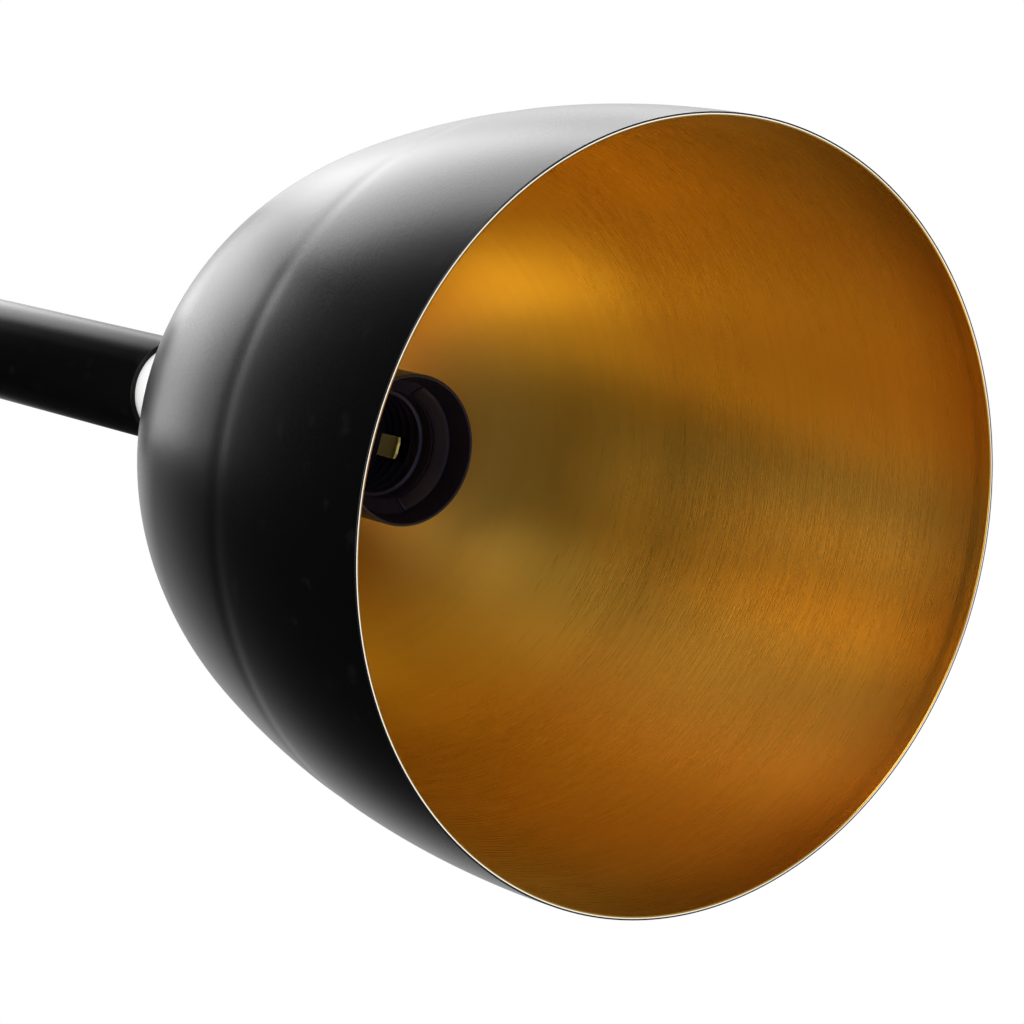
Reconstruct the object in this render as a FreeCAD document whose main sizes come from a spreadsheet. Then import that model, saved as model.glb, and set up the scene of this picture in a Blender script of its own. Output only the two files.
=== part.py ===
import FreeCAD, Part
import Sketcher
import math
import os

# Pendant lamp with a spun metal dome on a rigid tube. Millimetres, +Z up.
# The origin is the centre of the ceiling bracket, in the plane of the ceiling, so the lamp
# hangs along -Z. The shade tilts about Y at the knuckle and swivels about Z in the tube's end.

document = FreeCAD.newDocument("pendant_lamp")
sheet = document.addObject("Spreadsheet::Sheet", "Sizes")
nodes = []


# Sizes and the expressions made from them

class Size:
    """A length or a ratio: its value now, and the expression on the sheet that keeps it."""

    def __init__(self, value, text):
        self.value = value
        self.text = text

    def __add__(self, other):
        return combined(self, "+", other)

    def __radd__(self, other):
        return combined(other, "+", self)

    def __sub__(self, other):
        return combined(self, "-", other)

    def __rsub__(self, other):
        return combined(other, "-", self)

    def __mul__(self, other):
        return combined(self, "*", other)

    def __rmul__(self, other):
        return combined(other, "*", self)

    def __truediv__(self, other):
        return combined(self, "/", other)

    def __neg__(self):
        return combined(0, "-", self)


def as_size(number):
    return number if isinstance(number, Size) else Size(float(number), repr(float(number)))


def combined(left, sign, right):
    one = as_size(left)
    two = as_size(right)
    values = {
        "+": one.value + two.value,
        "-": one.value - two.value,
        "*": one.value * two.value,
        "/": one.value / two.value if two.value else 0.0,
    }
    return Size(values[sign], f"({one.text} {sign} {two.text})")


def root(number):
    return Size(math.sqrt(number.value), f"sqrt({number.text})")


def crown_drop(radius, reach):
    """How far a sphere of this radius falls from its top at this distance from the axis."""
    return radius - root(radius * radius - reach * reach)


def size(alias, value, meaning):
    row = len(sheet_rows) + 1
    sheet_rows.append(alias)
    sheet.set(f"A{row}", meaning)
    sheet.set(f"B{row}", str(value))
    sheet.setAlias(f"B{row}", alias)
    return Size(float(value), f"Sizes.{alias}")


sheet_rows = []

# Ceiling end
bracket_width = size("bracket_width", 25, "ceiling bracket, across the strap")
bracket_sheet = size("bracket_sheet", 2, "ceiling bracket, sheet thickness")
bracket_bridge = size("bracket_bridge", 70, "ceiling bracket, length of the lowered middle")
bracket_drop = size("bracket_drop", 14, "ceiling to the underside of the lowered middle")
slot_spacing = size("slot_spacing", 88, "ceiling screw slots, centre to centre")
slot_radius = size("slot_radius", 2.6, "ceiling screw slots, half their width")
slot_length = size("slot_length", 14, "ceiling screw slots, end to end")
bracket_margin = size("bracket_margin", 3, "ceiling bracket, slot's end to the strap's tip")
canopy_radius = size("canopy_radius", 60, "canopy cup, outer radius")
canopy_height = size("canopy_height", 30, "canopy cup, depth")
canopy_sheet = size("canopy_sheet", 1, "canopy cup, sheet thickness")
canopy_corner = size("canopy_corner", 7, "canopy cup, outer corner radius")
collar_wall = size("collar_wall", 4, "canopy collar, wall")
collar_height = size("collar_height", 12, "canopy collar, height")
block_length = size("block_length", 19, "terminal block, along X")
block_width = size("block_width", 14, "terminal block, along Y")
block_height = size("block_height", 12, "terminal block, height")
pole_pitch = size("pole_pitch", 6, "terminal block, pole to pole")
pole_bore = size("pole_bore", 1.6, "terminal block, radius of a pole's bore")
block_place = size("block_place", 25.5, "terminal block, its middle from the lamp's axis")
earth_place = size("earth_place", 24, "earth screw, from the lamp's axis")

# Threads, nuts and screws
thread_radius = size("thread_radius", 5, "M10x1 hollow thread, outer radius")
thread_bore = size("thread_bore", 3.9, "M10x1 hollow thread, bore radius")
thread_slack = size("thread_slack", 0.05, "thread in its nut or tapped hole, radial")
nut_radius = size("nut_radius", 8.08, "M10x1 thin nut, across the corners, half")
nut_height = size("nut_height", 3, "M10x1 thin nut, height")
washer_sheet = size("washer_sheet", 1, "plain washers, thickness")
washer_radius = size("washer_radius", 10, "plain washers, outer radius")
screw_radius = size("screw_radius", 2, "M4 screws, shank radius")
screw_slack = size("screw_slack", 0.1, "M4 screws in plain holes, radial")
head_radius = size("head_radius", 3.6, "M4 screws, head radius")
head_height = size("head_height", 2.4, "M4 screws, head height")
grub_length = size("grub_length", 6, "M4 grub screws, length")
terminal_screw = size("terminal_screw", 1.5, "M3 terminal screws, radius")

# Tube
tube_radius = size("tube_radius", 15, "tube, outer radius")
tube_wall = size("tube_wall", 1.5, "tube, wall")
tube_drop = size("tube_drop", 300, "tube, length below the canopy")
slide_slack = size("slide_slack", 0.05, "running fits, radial")
press_slack = size("press_slack", 0.03, "plugs in the tube, radial")
hole_slack = size("hole_slack", 0.6, "canopy's hole round the tube, radial")
nipple_length = size("nipple_length", 28, "top nipple, length")
top_plug_length = size("top_plug_length", 24, "top plug, length")
top_grub_depth = size("top_grub_depth", 8, "top plug, its top to its grub screw")
end_plug_length = size("end_plug_length", 20, "end plug, length")
plug_chamfer = size("plug_chamfer", 0.4, "plugs, edge chamfer")
plug_rise = size("plug_rise", 4, "end plug, how far its rounded face stands out")
plug_shoulder = size("plug_shoulder", 5, "end plug, radius of the rounding")

# Swivel in the tube's end
spigot_radius = size("spigot_radius", 7, "swivel spigot, radius")
spigot_bore = size("spigot_bore", 4.2, "swivel spigot, bore radius")
stop_sheet = size("stop_sheet", 1.6, "keyed stop washer, thickness")
stop_reach = size("stop_reach", 12.2, "keyed stop washer, reach of its tab from the axis")
stop_width = size("stop_width", 4.4, "keyed stop washer, width of its tab")
stop_pin_radius = size("stop_pin_radius", 1.25, "stop pin, radius")
stop_pin_place = size("stop_pin_place", 10.8, "stop pin, from the axis")
stop_pin_rise = size("stop_pin_rise", 3.2, "stop pin, height above the plug")
wave_sheet = size("wave_sheet", 1.2, "wave spring washer, height")
clip_sheet = size("clip_sheet", 1.2, "retaining ring, thickness")
clip_depth = size("clip_depth", 0.8, "retaining ring's groove, depth")
clip_reach = size("clip_reach", 1.8, "retaining ring, how far it stands out")
spigot_end = size("spigot_end", 1.5, "spigot beyond the retaining ring")
slip_sheet = size("slip_sheet", 0.5, "nylon slip washers, thickness")

# Knuckle
pivot_drop = size("pivot_drop", 26, "tube's end to the tilt pivot")
apex_drop = size("apex_drop", 32, "tilt pivot to the top of the dome")
flange_radius = size("flange_radius", 11, "knuckle flanges, radius")
flange_sheet = size("flange_sheet", 2, "knuckle flanges, thickness")
neck_radius = size("neck_radius", 9, "knuckle necks, radius")
cheek_radius = size("cheek_radius", 12, "knuckle cheeks, radius")
cheek_width = size("cheek_width", 9.5, "knuckle cheeks, outer face from the middle")
cheek_wall = size("cheek_wall", 1.8, "knuckle cheeks, wall")
cheek_gap = size("cheek_gap", 0.3, "cheek to the other half's neck")
pillar_radius = size("pillar_radius", 3.8, "pillar round the pivot screw, radius")
channel_radius = size("channel_radius", 3, "wire channel in the neck, radius")
channel_place = size("channel_place", 4.2, "wire channel, from the middle")
saddle_radius = size("saddle_radius", 16, "saddle under the knuckle, radius")
saddle_sheet = size("saddle_sheet", 4, "saddle, thickness over the dome's top")

# Dome
rim_radius = size("rim_radius", 95, "dome, outer radius at the rim")
dome_wall = size("dome_wall", 0.8, "dome, wall")
belly_height = size("belly_height", 13.5, "rim to the widest ring")
skirt_radius = size("skirt_radius", 348, "dome, radius of the skirt's arc")
skirt_height = size("skirt_height", 107, "rim to the top of the skirt's arc")
shoulder_radius = size("shoulder_radius", 124, "dome, radius of the shoulder's arc")
shoulder_height = size("shoulder_height", 136.5, "rim to the top of the shoulder's arc")

# Lampholder
holder_radius = size("holder_radius", 20, "lampholder, outer radius")
skirt_length = size("skirt_length", 37, "cap to the lampholder's front edge")
holder_wall = size("holder_wall", 2.2, "lampholder's skirt, wall")
lip_radius = size("lip_radius", 19.2, "skirt's mouth, inner radius")
holder_edge = size("holder_edge", 0.5, "lampholder, edge radius")
cap_length = size("cap_length", 17, "lampholder cap, length without its collar")
cap_neck = size("cap_neck", 8.5, "lampholder cap, radius of its neck")
cap_neck_length = size("cap_neck_length", 5, "lampholder cap, length of its neck")
cap_wall = size("cap_wall", 2.5, "lampholder cap, wall")
cap_joint = size("cap_joint", 0.2, "gap between the cap and the skirt")
face_depth = size("face_depth", 7, "front edge to the sloping inner face")
guide_depth = size("guide_depth", 4, "sloping inner face, its depth")
face_sheet = size("face_sheet", 5, "ring behind the sloping face, height")
lamp_bore = size("lamp_bore", 14.25, "plain opening for the lamp's cap, radius")
lamp_bore_depth = size("lamp_bore_depth", 15, "front edge to the end of the plain opening")
lamp_thread = size("lamp_thread", 13.3, "lamp thread, crest radius")
lamp_groove = size("lamp_groove", 0.75, "lamp thread, groove depth")
thread_pitch = size("thread_pitch", 3.6, "lamp thread, pitch")
sleeve_wall = size("sleeve_wall", 1.6, "thread sleeve, wall")
raised_sheet = size("raised_sheet", 0.5, "raised arc on the inner face, height")
core_sheet = size("core_sheet", 5, "insulating core, thickness")
contact_width = size("contact_width", 6, "contact tongues, width")
contact_sheet = size("contact_sheet", 0.8, "contact tongues, thickness")
side_depth = size("side_depth", 20, "front edge to the side contact's end")
side_length = size("side_length", 11, "side contact, length of its tongue")
tip_length = size("tip_length", 4.4, "side contact, length of its bent tip")
tip_lean = size("tip_lean", 2.2, "side contact, how far its tip leans inwards")
contact_rise = size("contact_rise", 4, "centre contact above the core")
contact_root = size("contact_root", 8, "centre contact, its root from the axis")
flex_slack = size("flex_slack", 0.3, "sprung tongue to its neighbours")

# Wires
wire_radius = size("wire_radius", 1.1, "insulated wire, radius")
wire_pair = size("wire_pair", 1.3, "wires side by side, from the axis")
WIRE_BEND = 7.0
WIRE_SIDES = {"live": -1, "neutral": 1}

# A bend may use this share of the shorter of its two runs, and a pipe rounds its corners
RUN_SHARE = 0.45
ROUND_CORNERS = 2

# The lamp thread, ring by ring: shares of the pitch, and whether the groove is there
THREAD_TURNS = 4
THREAD_FORM = ((0.1, 0), (0.4, 0), (0.6, 1), (0.9, 1))

# The raised arc on the lampholder's face, in degrees about the axis
RAISED_START = 12.0
RAISED_ARC = 140.0

# Levels, from the ceiling down
bridge_top = bracket_sheet - bracket_drop
plug_top = -bracket_drop - washer_sheet
tube_end = -canopy_height - tube_drop
pivot_level = tube_end - pivot_drop
apex_level = pivot_level - apex_drop
bore_radius = tube_radius - tube_wall
plug_radius = bore_radius - press_slack
plug_end_top = tube_end + end_plug_length
plug_face = tube_end - plug_rise

# The dome's section: skirt and shoulder arcs that meet without a corner, and a round crown
skirt_sine_low = -belly_height / skirt_radius
skirt_cosine_low = root(1 - skirt_sine_low * skirt_sine_low)
skirt_sine = (skirt_height - belly_height) / skirt_radius
skirt_cosine = root(1 - skirt_sine * skirt_sine)
crown_sine = skirt_sine + (shoulder_height - skirt_height) / shoulder_radius
crown_cosine = root(1 - crown_sine * crown_sine)
skirt_across = rim_radius - skirt_radius * skirt_cosine_low
shoulder_across = skirt_across + (skirt_radius - shoulder_radius) * skirt_cosine
crown_radius = (shoulder_across + shoulder_radius * crown_cosine) / crown_cosine
shoulder_rise = belly_height + (skirt_radius - shoulder_radius) * skirt_sine
crown_rise = shoulder_rise + (shoulder_radius - crown_radius) * crown_sine
rim_level = apex_level - crown_rise - crown_radius

# Levels under the dome's top: the lampholder hangs from the nut inside the crown
seat_level = apex_level + saddle_sheet
washer_top = apex_level - dome_wall - crown_drop(crown_radius - dome_wall, washer_radius)
cap_top = washer_top - washer_sheet - nut_height - thread_slack
cap_bottom = cap_top - cap_length
front_level = cap_bottom - skirt_length
sleeve_top = front_level + lamp_bore_depth + thread_pitch * THREAD_TURNS + sleeve_wall


# Helpers

def bind(thing, name, number):
    """Keep a property on the sheet where its number comes from a size."""
    if isinstance(number, Size):
        thing.setExpression(name, number.text)


def vector(across, up):
    return FreeCAD.Vector(across.value, up.value, 0)


def origin_plane(body, role):
    return next(plane for plane in body.Origin.OriginFeatures if plane.Role == role)


def arc_through(start, end, radius, side):
    """The short arc between two points, its centre left (1) or right (-1) of the way there."""
    chord = end - start
    middle = (start + end) * 0.5
    left = FreeCAD.Vector(-chord.y, chord.x, 0).normalize()
    reach = math.sqrt(max(radius ** 2 - (chord.Length / 2) ** 2, 0.0))
    centre = middle + left * reach * side
    first, last = (start, end) if side > 0 else (end, start)
    low = math.atan2(first.y - centre.y, first.x - centre.x)
    high = math.atan2(last.y - centre.y, last.x - centre.x)
    circle = Part.Circle(centre, FreeCAD.Vector(0, 0, 1), radius)
    return Part.ArcOfCircle(circle, low, high)


def hold(sketch, kind, place, number):
    index = sketch.addConstraint(Sketcher.Constraint(kind, *place, number.value))
    sketch.setExpression(f"Constraints[{index}]", number.text)


def outlined(body, name, role, outline):
    """A closed sketch: corners (across, up), and (across, up, radius, side) after an arc."""
    sketch = body.newObject("Sketcher::SketchObject", name)
    sketch.AttachmentSupport = [(origin_plane(body, role), "")]
    sketch.MapMode = "FlatFace"
    corners = [tuple(as_size(number) for number in corner[:3]) + corner[3:] for corner in outline]
    ends = []
    for here, there in zip(corners, corners[1:] + corners[:1]):
        start = vector(*here[:2])
        end = vector(*there[:2])
        if len(there) == 2:
            index = sketch.addGeometry(Part.LineSegment(start, end))
            ends.append((index, 1, 2))
            continue
        index = sketch.addGeometry(arc_through(start, end, there[2].value, there[3]))
        hold(sketch, "Radius", (index,), there[2])
        ends.append((index, 1, 2) if there[3] > 0 else (index, 2, 1))
    for here, there in zip(ends, ends[1:] + ends[:1]):
        sketch.addConstraint(Sketcher.Constraint("Coincident", here[0], here[2], there[0], there[1]))
    for end, corner in zip(ends, corners):
        hold(sketch, "DistanceX", end[:2], corner[0])
        hold(sketch, "DistanceY", end[:2], corner[1])
    return sketch


def node(thing, label):
    thing.Label = label
    nodes.append(thing)
    return thing


def turned(name, outline):
    """A body of revolution about Z from half of its section."""
    body = document.addObject("PartDesign::Body", name)
    sketch = outlined(body, name + "_section", "XZ_Plane", outline)
    turn = body.newObject("PartDesign::Revolution", name + "_turn")
    turn.Profile = sketch
    turn.ReferenceAxis = (sketch, ["V_Axis"])
    turn.Angle = 360
    return body


def extruded(name, role, outline, width):
    """A flat outline on an origin plane, padded by half of the width each way."""
    body = document.addObject("PartDesign::Body", name)
    sketch = outlined(body, name + "_outline", role, outline)
    pad = body.newObject("PartDesign::Pad", name + "_pad")
    pad.Profile = sketch
    pad.SideType = "Symmetric"
    pad.Length = as_size(width).value
    bind(pad, "Length", width)
    return body


def ring(name, inner, outer, low, high):
    """A washer, ring or sleeve between two radii and two levels."""
    return turned(name, [(inner, low), (outer, low), (outer, high), (inner, high)])


TURNS = {
    "Z": FreeCAD.Rotation(),
    "Y": FreeCAD.Rotation(FreeCAD.Vector(1, 0, 0), -90),
    "X": FreeCAD.Rotation(FreeCAD.Vector(0, 1, 0), 90),
}


def placed(thing, place, axis="Z"):
    corner = [as_size(number) for number in place]
    base = FreeCAD.Vector(*[number.value for number in corner])
    thing.Placement = FreeCAD.Placement(base, TURNS[axis])
    for letter, number in zip("xyz", corner):
        thing.setExpression("Placement.Base." + letter, number.text)
    return thing


def rod(name, radius, length, place, axis="Z"):
    """A cylinder from its first end, along X, Y or Z."""
    thing = document.addObject("Part::Cylinder", name)
    bind(thing, "Radius", as_size(radius))
    bind(thing, "Height", as_size(length))
    return placed(thing, place, axis)


def block(name, lengths, place):
    """A box from its lowest corner."""
    thing = document.addObject("Part::Box", name)
    for side, number in zip(("Length", "Width", "Height"), lengths):
        bind(thing, side, as_size(number))
    return placed(thing, place)


def hexagon(name, corner_radius, height, place, axis="Z"):
    thing = document.addObject("Part::Prism", name)
    thing.Polygon = 6
    bind(thing, "Circumradius", as_size(corner_radius))
    bind(thing, "Height", as_size(height))
    return placed(thing, place, axis)


def joined(name, *things):
    thing = document.addObject("Part::MultiFuse", name)
    thing.Shapes = list(things)
    return thing


def less(name, base, *tools):
    thing = document.addObject("Part::Cut", name)
    thing.Base = base
    thing.Tool = tools[0] if len(tools) == 1 else joined(name + "_tools", *tools)
    return thing


def common(name, *things):
    thing = document.addObject("Part::MultiCommon", name)
    thing.Shapes = list(things)
    return thing


def grouped(name, *things):
    """Identical loose pieces that share one node."""
    thing = document.addObject("Part::Compound", name)
    thing.Links = list(things)
    return thing


def wire_solid(points, radius):
    """A round wire along straight runs joined by tangent arcs."""
    route = [FreeCAD.Vector(*point) for point in points]
    edges = []
    here = route[0]
    for before, corner, after in zip(route, route[1:], route[2:]):
        back = (before - corner).normalize()
        ahead = (after - corner).normalize()
        turn = math.pi - back.getAngle(ahead)
        shorter = min((before - corner).Length, (after - corner).Length)
        trim = min(RUN_SHARE * shorter, WIRE_BEND * math.tan(turn / 2))
        start = corner + back * trim
        end = corner + ahead * trim
        arc_radius = trim / math.tan(turn / 2)
        inward = (back + ahead).normalize()
        middle = corner + inward * (arc_radius / math.cos(turn / 2) - arc_radius)
        edges.append(Part.LineSegment(here, start).toShape())
        edges.append(Part.Arc(start, middle, end).toShape())
        here = end
    edges.append(Part.LineSegment(here, route[-1]).toShape())
    path = Part.Wire(edges)
    heading = route[1] - route[0]
    face = Part.Wire([Part.Circle(route[0], heading, radius).toShape()])
    return path.makePipeShell([face], True, True, ROUND_CORNERS)


def wire(label, route):
    """A wire along its route of sizes, as a node of its own."""
    thing = document.addObject("Part::Feature", label)
    points = [[as_size(number).value for number in point] for point in route]
    thing.Shape = wire_solid(points, wire_radius.value)
    thing.Placement = FreeCAD.Placement()
    return node(thing, label)


# Ceiling bracket and what it carries

def ceiling_bracket():
    """A steel strap with lifted feet: slots for the ceiling screws, a hole for the nipple."""
    tip = slot_spacing / 2 + slot_length / 2 + bracket_margin
    outer = bracket_bridge / 2
    inner = outer - bracket_sheet
    right = [(tip, -bracket_sheet), (tip, 0), (inner, 0), (inner, bridge_top)]
    left = [(-across, up) for across, up in reversed(right)]
    under = [(-outer, -bracket_sheet), (-outer, -bracket_drop)]
    back = [(outer, -bracket_drop), (outer, -bracket_sheet)]
    strap = extruded("bracket_strap", "XZ_Plane", right + left + under + back, bracket_width)
    low = -bracket_drop
    holes = [rod("bracket_nipple_hole", thread_radius + screw_slack, bracket_drop, (0, 0, low))]
    tapped = screw_radius + thread_slack
    holes.append(rod("bracket_earth_hole", tapped, bracket_drop, (-earth_place, 0, low)))
    straight = slot_length - slot_radius * 2
    for side in (-1, 1):
        middle = slot_spacing / 2 * side
        lower = middle - straight / 2
        start = -bracket_sheet * 2
        depth = bracket_sheet * 4
        holes.append(rod(f"slot_near_{side}", slot_radius, depth, (lower, 0, start)))
        holes.append(rod(f"slot_far_{side}", slot_radius, depth, (lower + straight, 0, start)))
        way = (straight, slot_radius * 2, depth)
        holes.append(block(f"slot_way_{side}", way, (lower, -slot_radius, start)))
    return node(less("bracket", strap, *holes), "ceiling_bracket")


def top_nipple():
    """The hollow thread that joins the bracket to the tube's top plug."""
    top = bridge_top + nut_height + washer_sheet
    return node(ring("nipple", thread_bore, thread_radius, top - nipple_length, top), "top_nipple")


def nipple_nut():
    prism = hexagon("nipple_nut_blank", nut_radius, nut_height, (0, 0, bridge_top))
    hole = rod("nipple_nut_thread", thread_radius + thread_slack, nut_height, (0, 0, bridge_top))
    return node(less("nipple_nut_cut", prism, hole), "nipple_nut")


def nipple_washer():
    inner = thread_radius + screw_slack
    return node(ring("nipple_ring", inner, washer_radius, plug_top, -bracket_drop), "nipple_washer")


def earth_screw():
    """The earth screw in the strap, its head on the ring tag."""
    tag = ring_tag_top()
    shank_length = tag + bracket_drop + screw_radius
    shank = rod("earth_shank", screw_radius, shank_length, (-earth_place, 0, tag - shank_length))
    head = rod("earth_head", head_radius, head_height, (-earth_place, 0, tag))
    slot = block("earth_slot", (head_radius * 2, washer_sheet, washer_sheet),
                 (-earth_place - head_radius, -washer_sheet / 2, tag + head_height - washer_sheet))
    return node(less("earth_screw_cut", joined("earth_screw_blank", shank, head), slot), "earth_screw")


def ring_tag_top():
    return bridge_top + washer_sheet


def earth_tag():
    """The ring tag under the earth screw's head, with its wire barrel."""
    plate = rod("tag_plate", head_radius + washer_sheet, washer_sheet, (-earth_place, 0, bridge_top))
    barrel = rod("tag_barrel", wire_radius + washer_sheet / 2, washer_radius / 2,
                 (-earth_place, -washer_radius, ring_tag_top() + wire_radius), "Y")
    neck = block("tag_neck", (washer_sheet * 2, washer_radius / 2, washer_sheet),
                 (-earth_place - washer_sheet, -washer_radius + washer_sheet, bridge_top))
    hole = rod("tag_hole", screw_radius + screw_slack, washer_sheet, (-earth_place, 0, bridge_top))
    return node(less("earth_tag_cut", joined("earth_tag_blank", plate, barrel, neck), hole), "earth_tag")


def pole_places():
    return [block_place + pole_pitch * step for step in (-1, 0, 1)]


def terminal_block():
    """A three-pole block under the strap, bored from side to side for the wires."""
    low = -bracket_drop - block_height
    body = block("block_body", (block_length, block_width, block_height),
                 (block_place - block_length / 2, -block_width / 2, low))
    cuts = []
    for count, across in enumerate(pole_places()):
        middle = low + block_height / 2
        start = (across, -block_width / 2, middle)
        cuts.append(rod(f"pole_bore_{count}", pole_bore, block_width, start, "Y"))
        for side in (-1, 1):
            cuts.append(rod(f"pole_well_{count}_{side}", terminal_screw + thread_slack, block_height / 2,
                            (across, block_width / 4 * side, low)))
    return node(less("terminal_block_cut", body, *cuts), "terminal_block")


def terminal_screws():
    low = -bracket_drop - block_height + washer_sheet / 2
    length = block_height / 2 - pole_bore
    screws = []
    for count, across in enumerate(pole_places()):
        for side in (-1, 1):
            place = (across, block_width / 4 * side, low)
            screws.append(rod(f"terminal_screw_{count}_{side}", terminal_screw, length, place))
    return node(grouped("terminal_screw_set", *screws), "terminal_screws")


# Canopy

def canopy_cup():
    """The spun cup that hides the bracket; the tube passes through its floor."""
    outer = canopy_radius
    inner = canopy_radius - canopy_sheet
    floor = canopy_sheet - canopy_height
    small = canopy_corner - canopy_sheet
    hole = tube_radius + hole_slack
    outline = [
        (hole, -canopy_height),
        (outer - canopy_corner, -canopy_height),
        (outer, canopy_corner - canopy_height, canopy_corner, 1),
        (outer, 0),
        (inner, 0),
        (inner, floor + small),
        (inner - small, floor, small, -1),
        (hole, floor),
    ]
    return node(turned("canopy", outline), "canopy_cup")


def canopy_collar():
    """The clamp ring that holds the cup up against the ceiling."""
    inner = tube_radius + slide_slack
    outer = tube_radius + collar_wall
    top = -canopy_height
    low = top - collar_height
    edge = canopy_sheet
    outline = [
        (inner, low),
        (outer - edge, low),
        (outer, low + edge, edge, 1),
        (outer, top),
        (inner, top),
    ]
    hole = rod("collar_hole", screw_radius + thread_slack, collar_wall * 2,
               (0, tube_radius - collar_wall / 2, top - collar_height / 2), "Y")
    return node(less("collar_cut", turned("collar", outline), hole), "canopy_collar")


def collar_screw():
    """The grub screw that grips the tube through the collar."""
    start = tube_radius + flex_slack
    level = -canopy_height - collar_height / 2
    screw = rod("collar_grub", screw_radius, collar_wall - flex_slack, (0, start, level), "Y")
    return node(screw, "collar_screw")


# Tube and its plugs

def grub_levels():
    return [plug_top - top_grub_depth, tube_end + end_plug_length / 2]


def grub_holes(name):
    depth = grub_length + tube_wall
    start = tube_radius - grub_length
    return [rod(f"{name}_{count}", screw_radius + thread_slack, depth, (0, start, level), "Y")
            for count, level in enumerate(grub_levels())]


def stem_tube():
    blank = ring("tube", bore_radius, tube_radius, tube_end, plug_top)
    return node(less("tube_cut", blank, *grub_holes("tube_hole")), "stem_tube")


def grub_screws():
    """Two grub screws at the back of the tube, one into each plug."""
    start = tube_radius - grub_length
    screws = [rod(f"grub_{count}", screw_radius, grub_length - flex_slack, (0, start, level), "Y")
              for count, level in enumerate(grub_levels())]
    return node(grouped("grub_set", *screws), "tube_grub_screws")


def top_plug():
    """The turned plug in the tube's top, tapped for the nipple."""
    inner = thread_radius + thread_slack
    low = plug_top - top_plug_length
    edge = plug_chamfer
    outline = [
        (inner, low),
        (plug_radius - edge, low),
        (plug_radius, low + edge),
        (plug_radius, plug_top - edge),
        (plug_radius - edge, plug_top),
        (inner, plug_top),
    ]
    grub_hole = grub_holes("top_plug_hole")[0]
    return node(less("top_plug_cut", turned("top_plug", outline), grub_hole), "tube_top_plug")


def end_plug():
    """The bright plug in the tube's lower end: a rounded face, bored for the swivel's spigot."""
    inner = spigot_radius + slide_slack
    edge = plug_chamfer
    outline = [
        (inner, plug_face),
        (flange_radius, plug_face),
        (plug_radius, tube_end, plug_shoulder, 1),
        (plug_radius, plug_end_top - edge),
        (plug_radius - edge, plug_end_top),
        (inner, plug_end_top),
    ]
    pin_hole = rod("end_plug_pin_hole", stop_pin_radius + thread_slack, stop_pin_rise * 2,
                   (-stop_pin_place, 0, plug_end_top - stop_pin_rise))
    grub_hole = grub_holes("end_plug_hole")[1]
    return node(less("end_plug_cut", turned("end_plug", outline), pin_hole, grub_hole), "tube_end_plug")


def stop_pin():
    """The pin that stops the swivel before the wires can wind up."""
    low = plug_end_top - stop_pin_rise
    pin = rod("pin", stop_pin_radius, stop_pin_rise * 2, (-stop_pin_place, 0, low))
    return node(pin, "swivel_stop_pin")


# Swivel

def stop_washer_levels():
    return plug_end_top + slip_sheet, plug_end_top + slip_sheet + stop_sheet


def swivel_slip_washers():
    """Nylon washers each side of the end plug, which the swivel turns on."""
    inner = spigot_radius + slide_slack
    outer = stop_pin_place - stop_pin_radius - flex_slack
    upper = ring("slip_upper", inner, outer, plug_end_top, plug_end_top + slip_sheet)
    lower = ring("slip_lower", inner, flange_radius - plug_chamfer, plug_face - slip_sheet, plug_face)
    return node(grouped("slip_set", upper, lower), "swivel_slip_washers")


def stop_washer():
    """The keyed washer on the spigot; its tab meets the stop pin at each end of the swivel."""
    low, high = stop_washer_levels()
    outer = stop_pin_place - stop_pin_radius - flex_slack
    disc = ring("stop_disc", spigot_radius + thread_slack, outer, low, high)
    tab_start = spigot_radius + thread_slack + sleeve_wall
    tab_size = (stop_reach - tab_start, stop_width, stop_sheet)
    tab = block("stop_tab", tab_size, (tab_start, -stop_width / 2, low))
    return node(joined("stop_washer_blank", disc, tab), "swivel_stop_washer")


def wave_washer():
    low = stop_washer_levels()[1]
    outer = stop_pin_place - stop_pin_radius - flex_slack
    inner = spigot_radius + thread_slack
    return node(ring("wave", inner, outer, low, low + wave_sheet), "swivel_spring_washer")


def clip_level():
    return stop_washer_levels()[1] + wave_sheet


def retaining_ring():
    """An open ring in the spigot's groove."""
    low = clip_level()
    inner = spigot_radius - clip_depth + thread_slack
    blank = ring("clip", inner, spigot_radius + clip_reach, low, low + clip_sheet)
    gap = block("clip_gap", (spigot_radius * 2, clip_sheet * 2, clip_sheet), (0, -clip_sheet, low))
    return node(less("clip_cut", blank, gap), "swivel_retaining_ring")


# Knuckle: two hollow halves that meet on a slip washer, with the wires passing between

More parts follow.
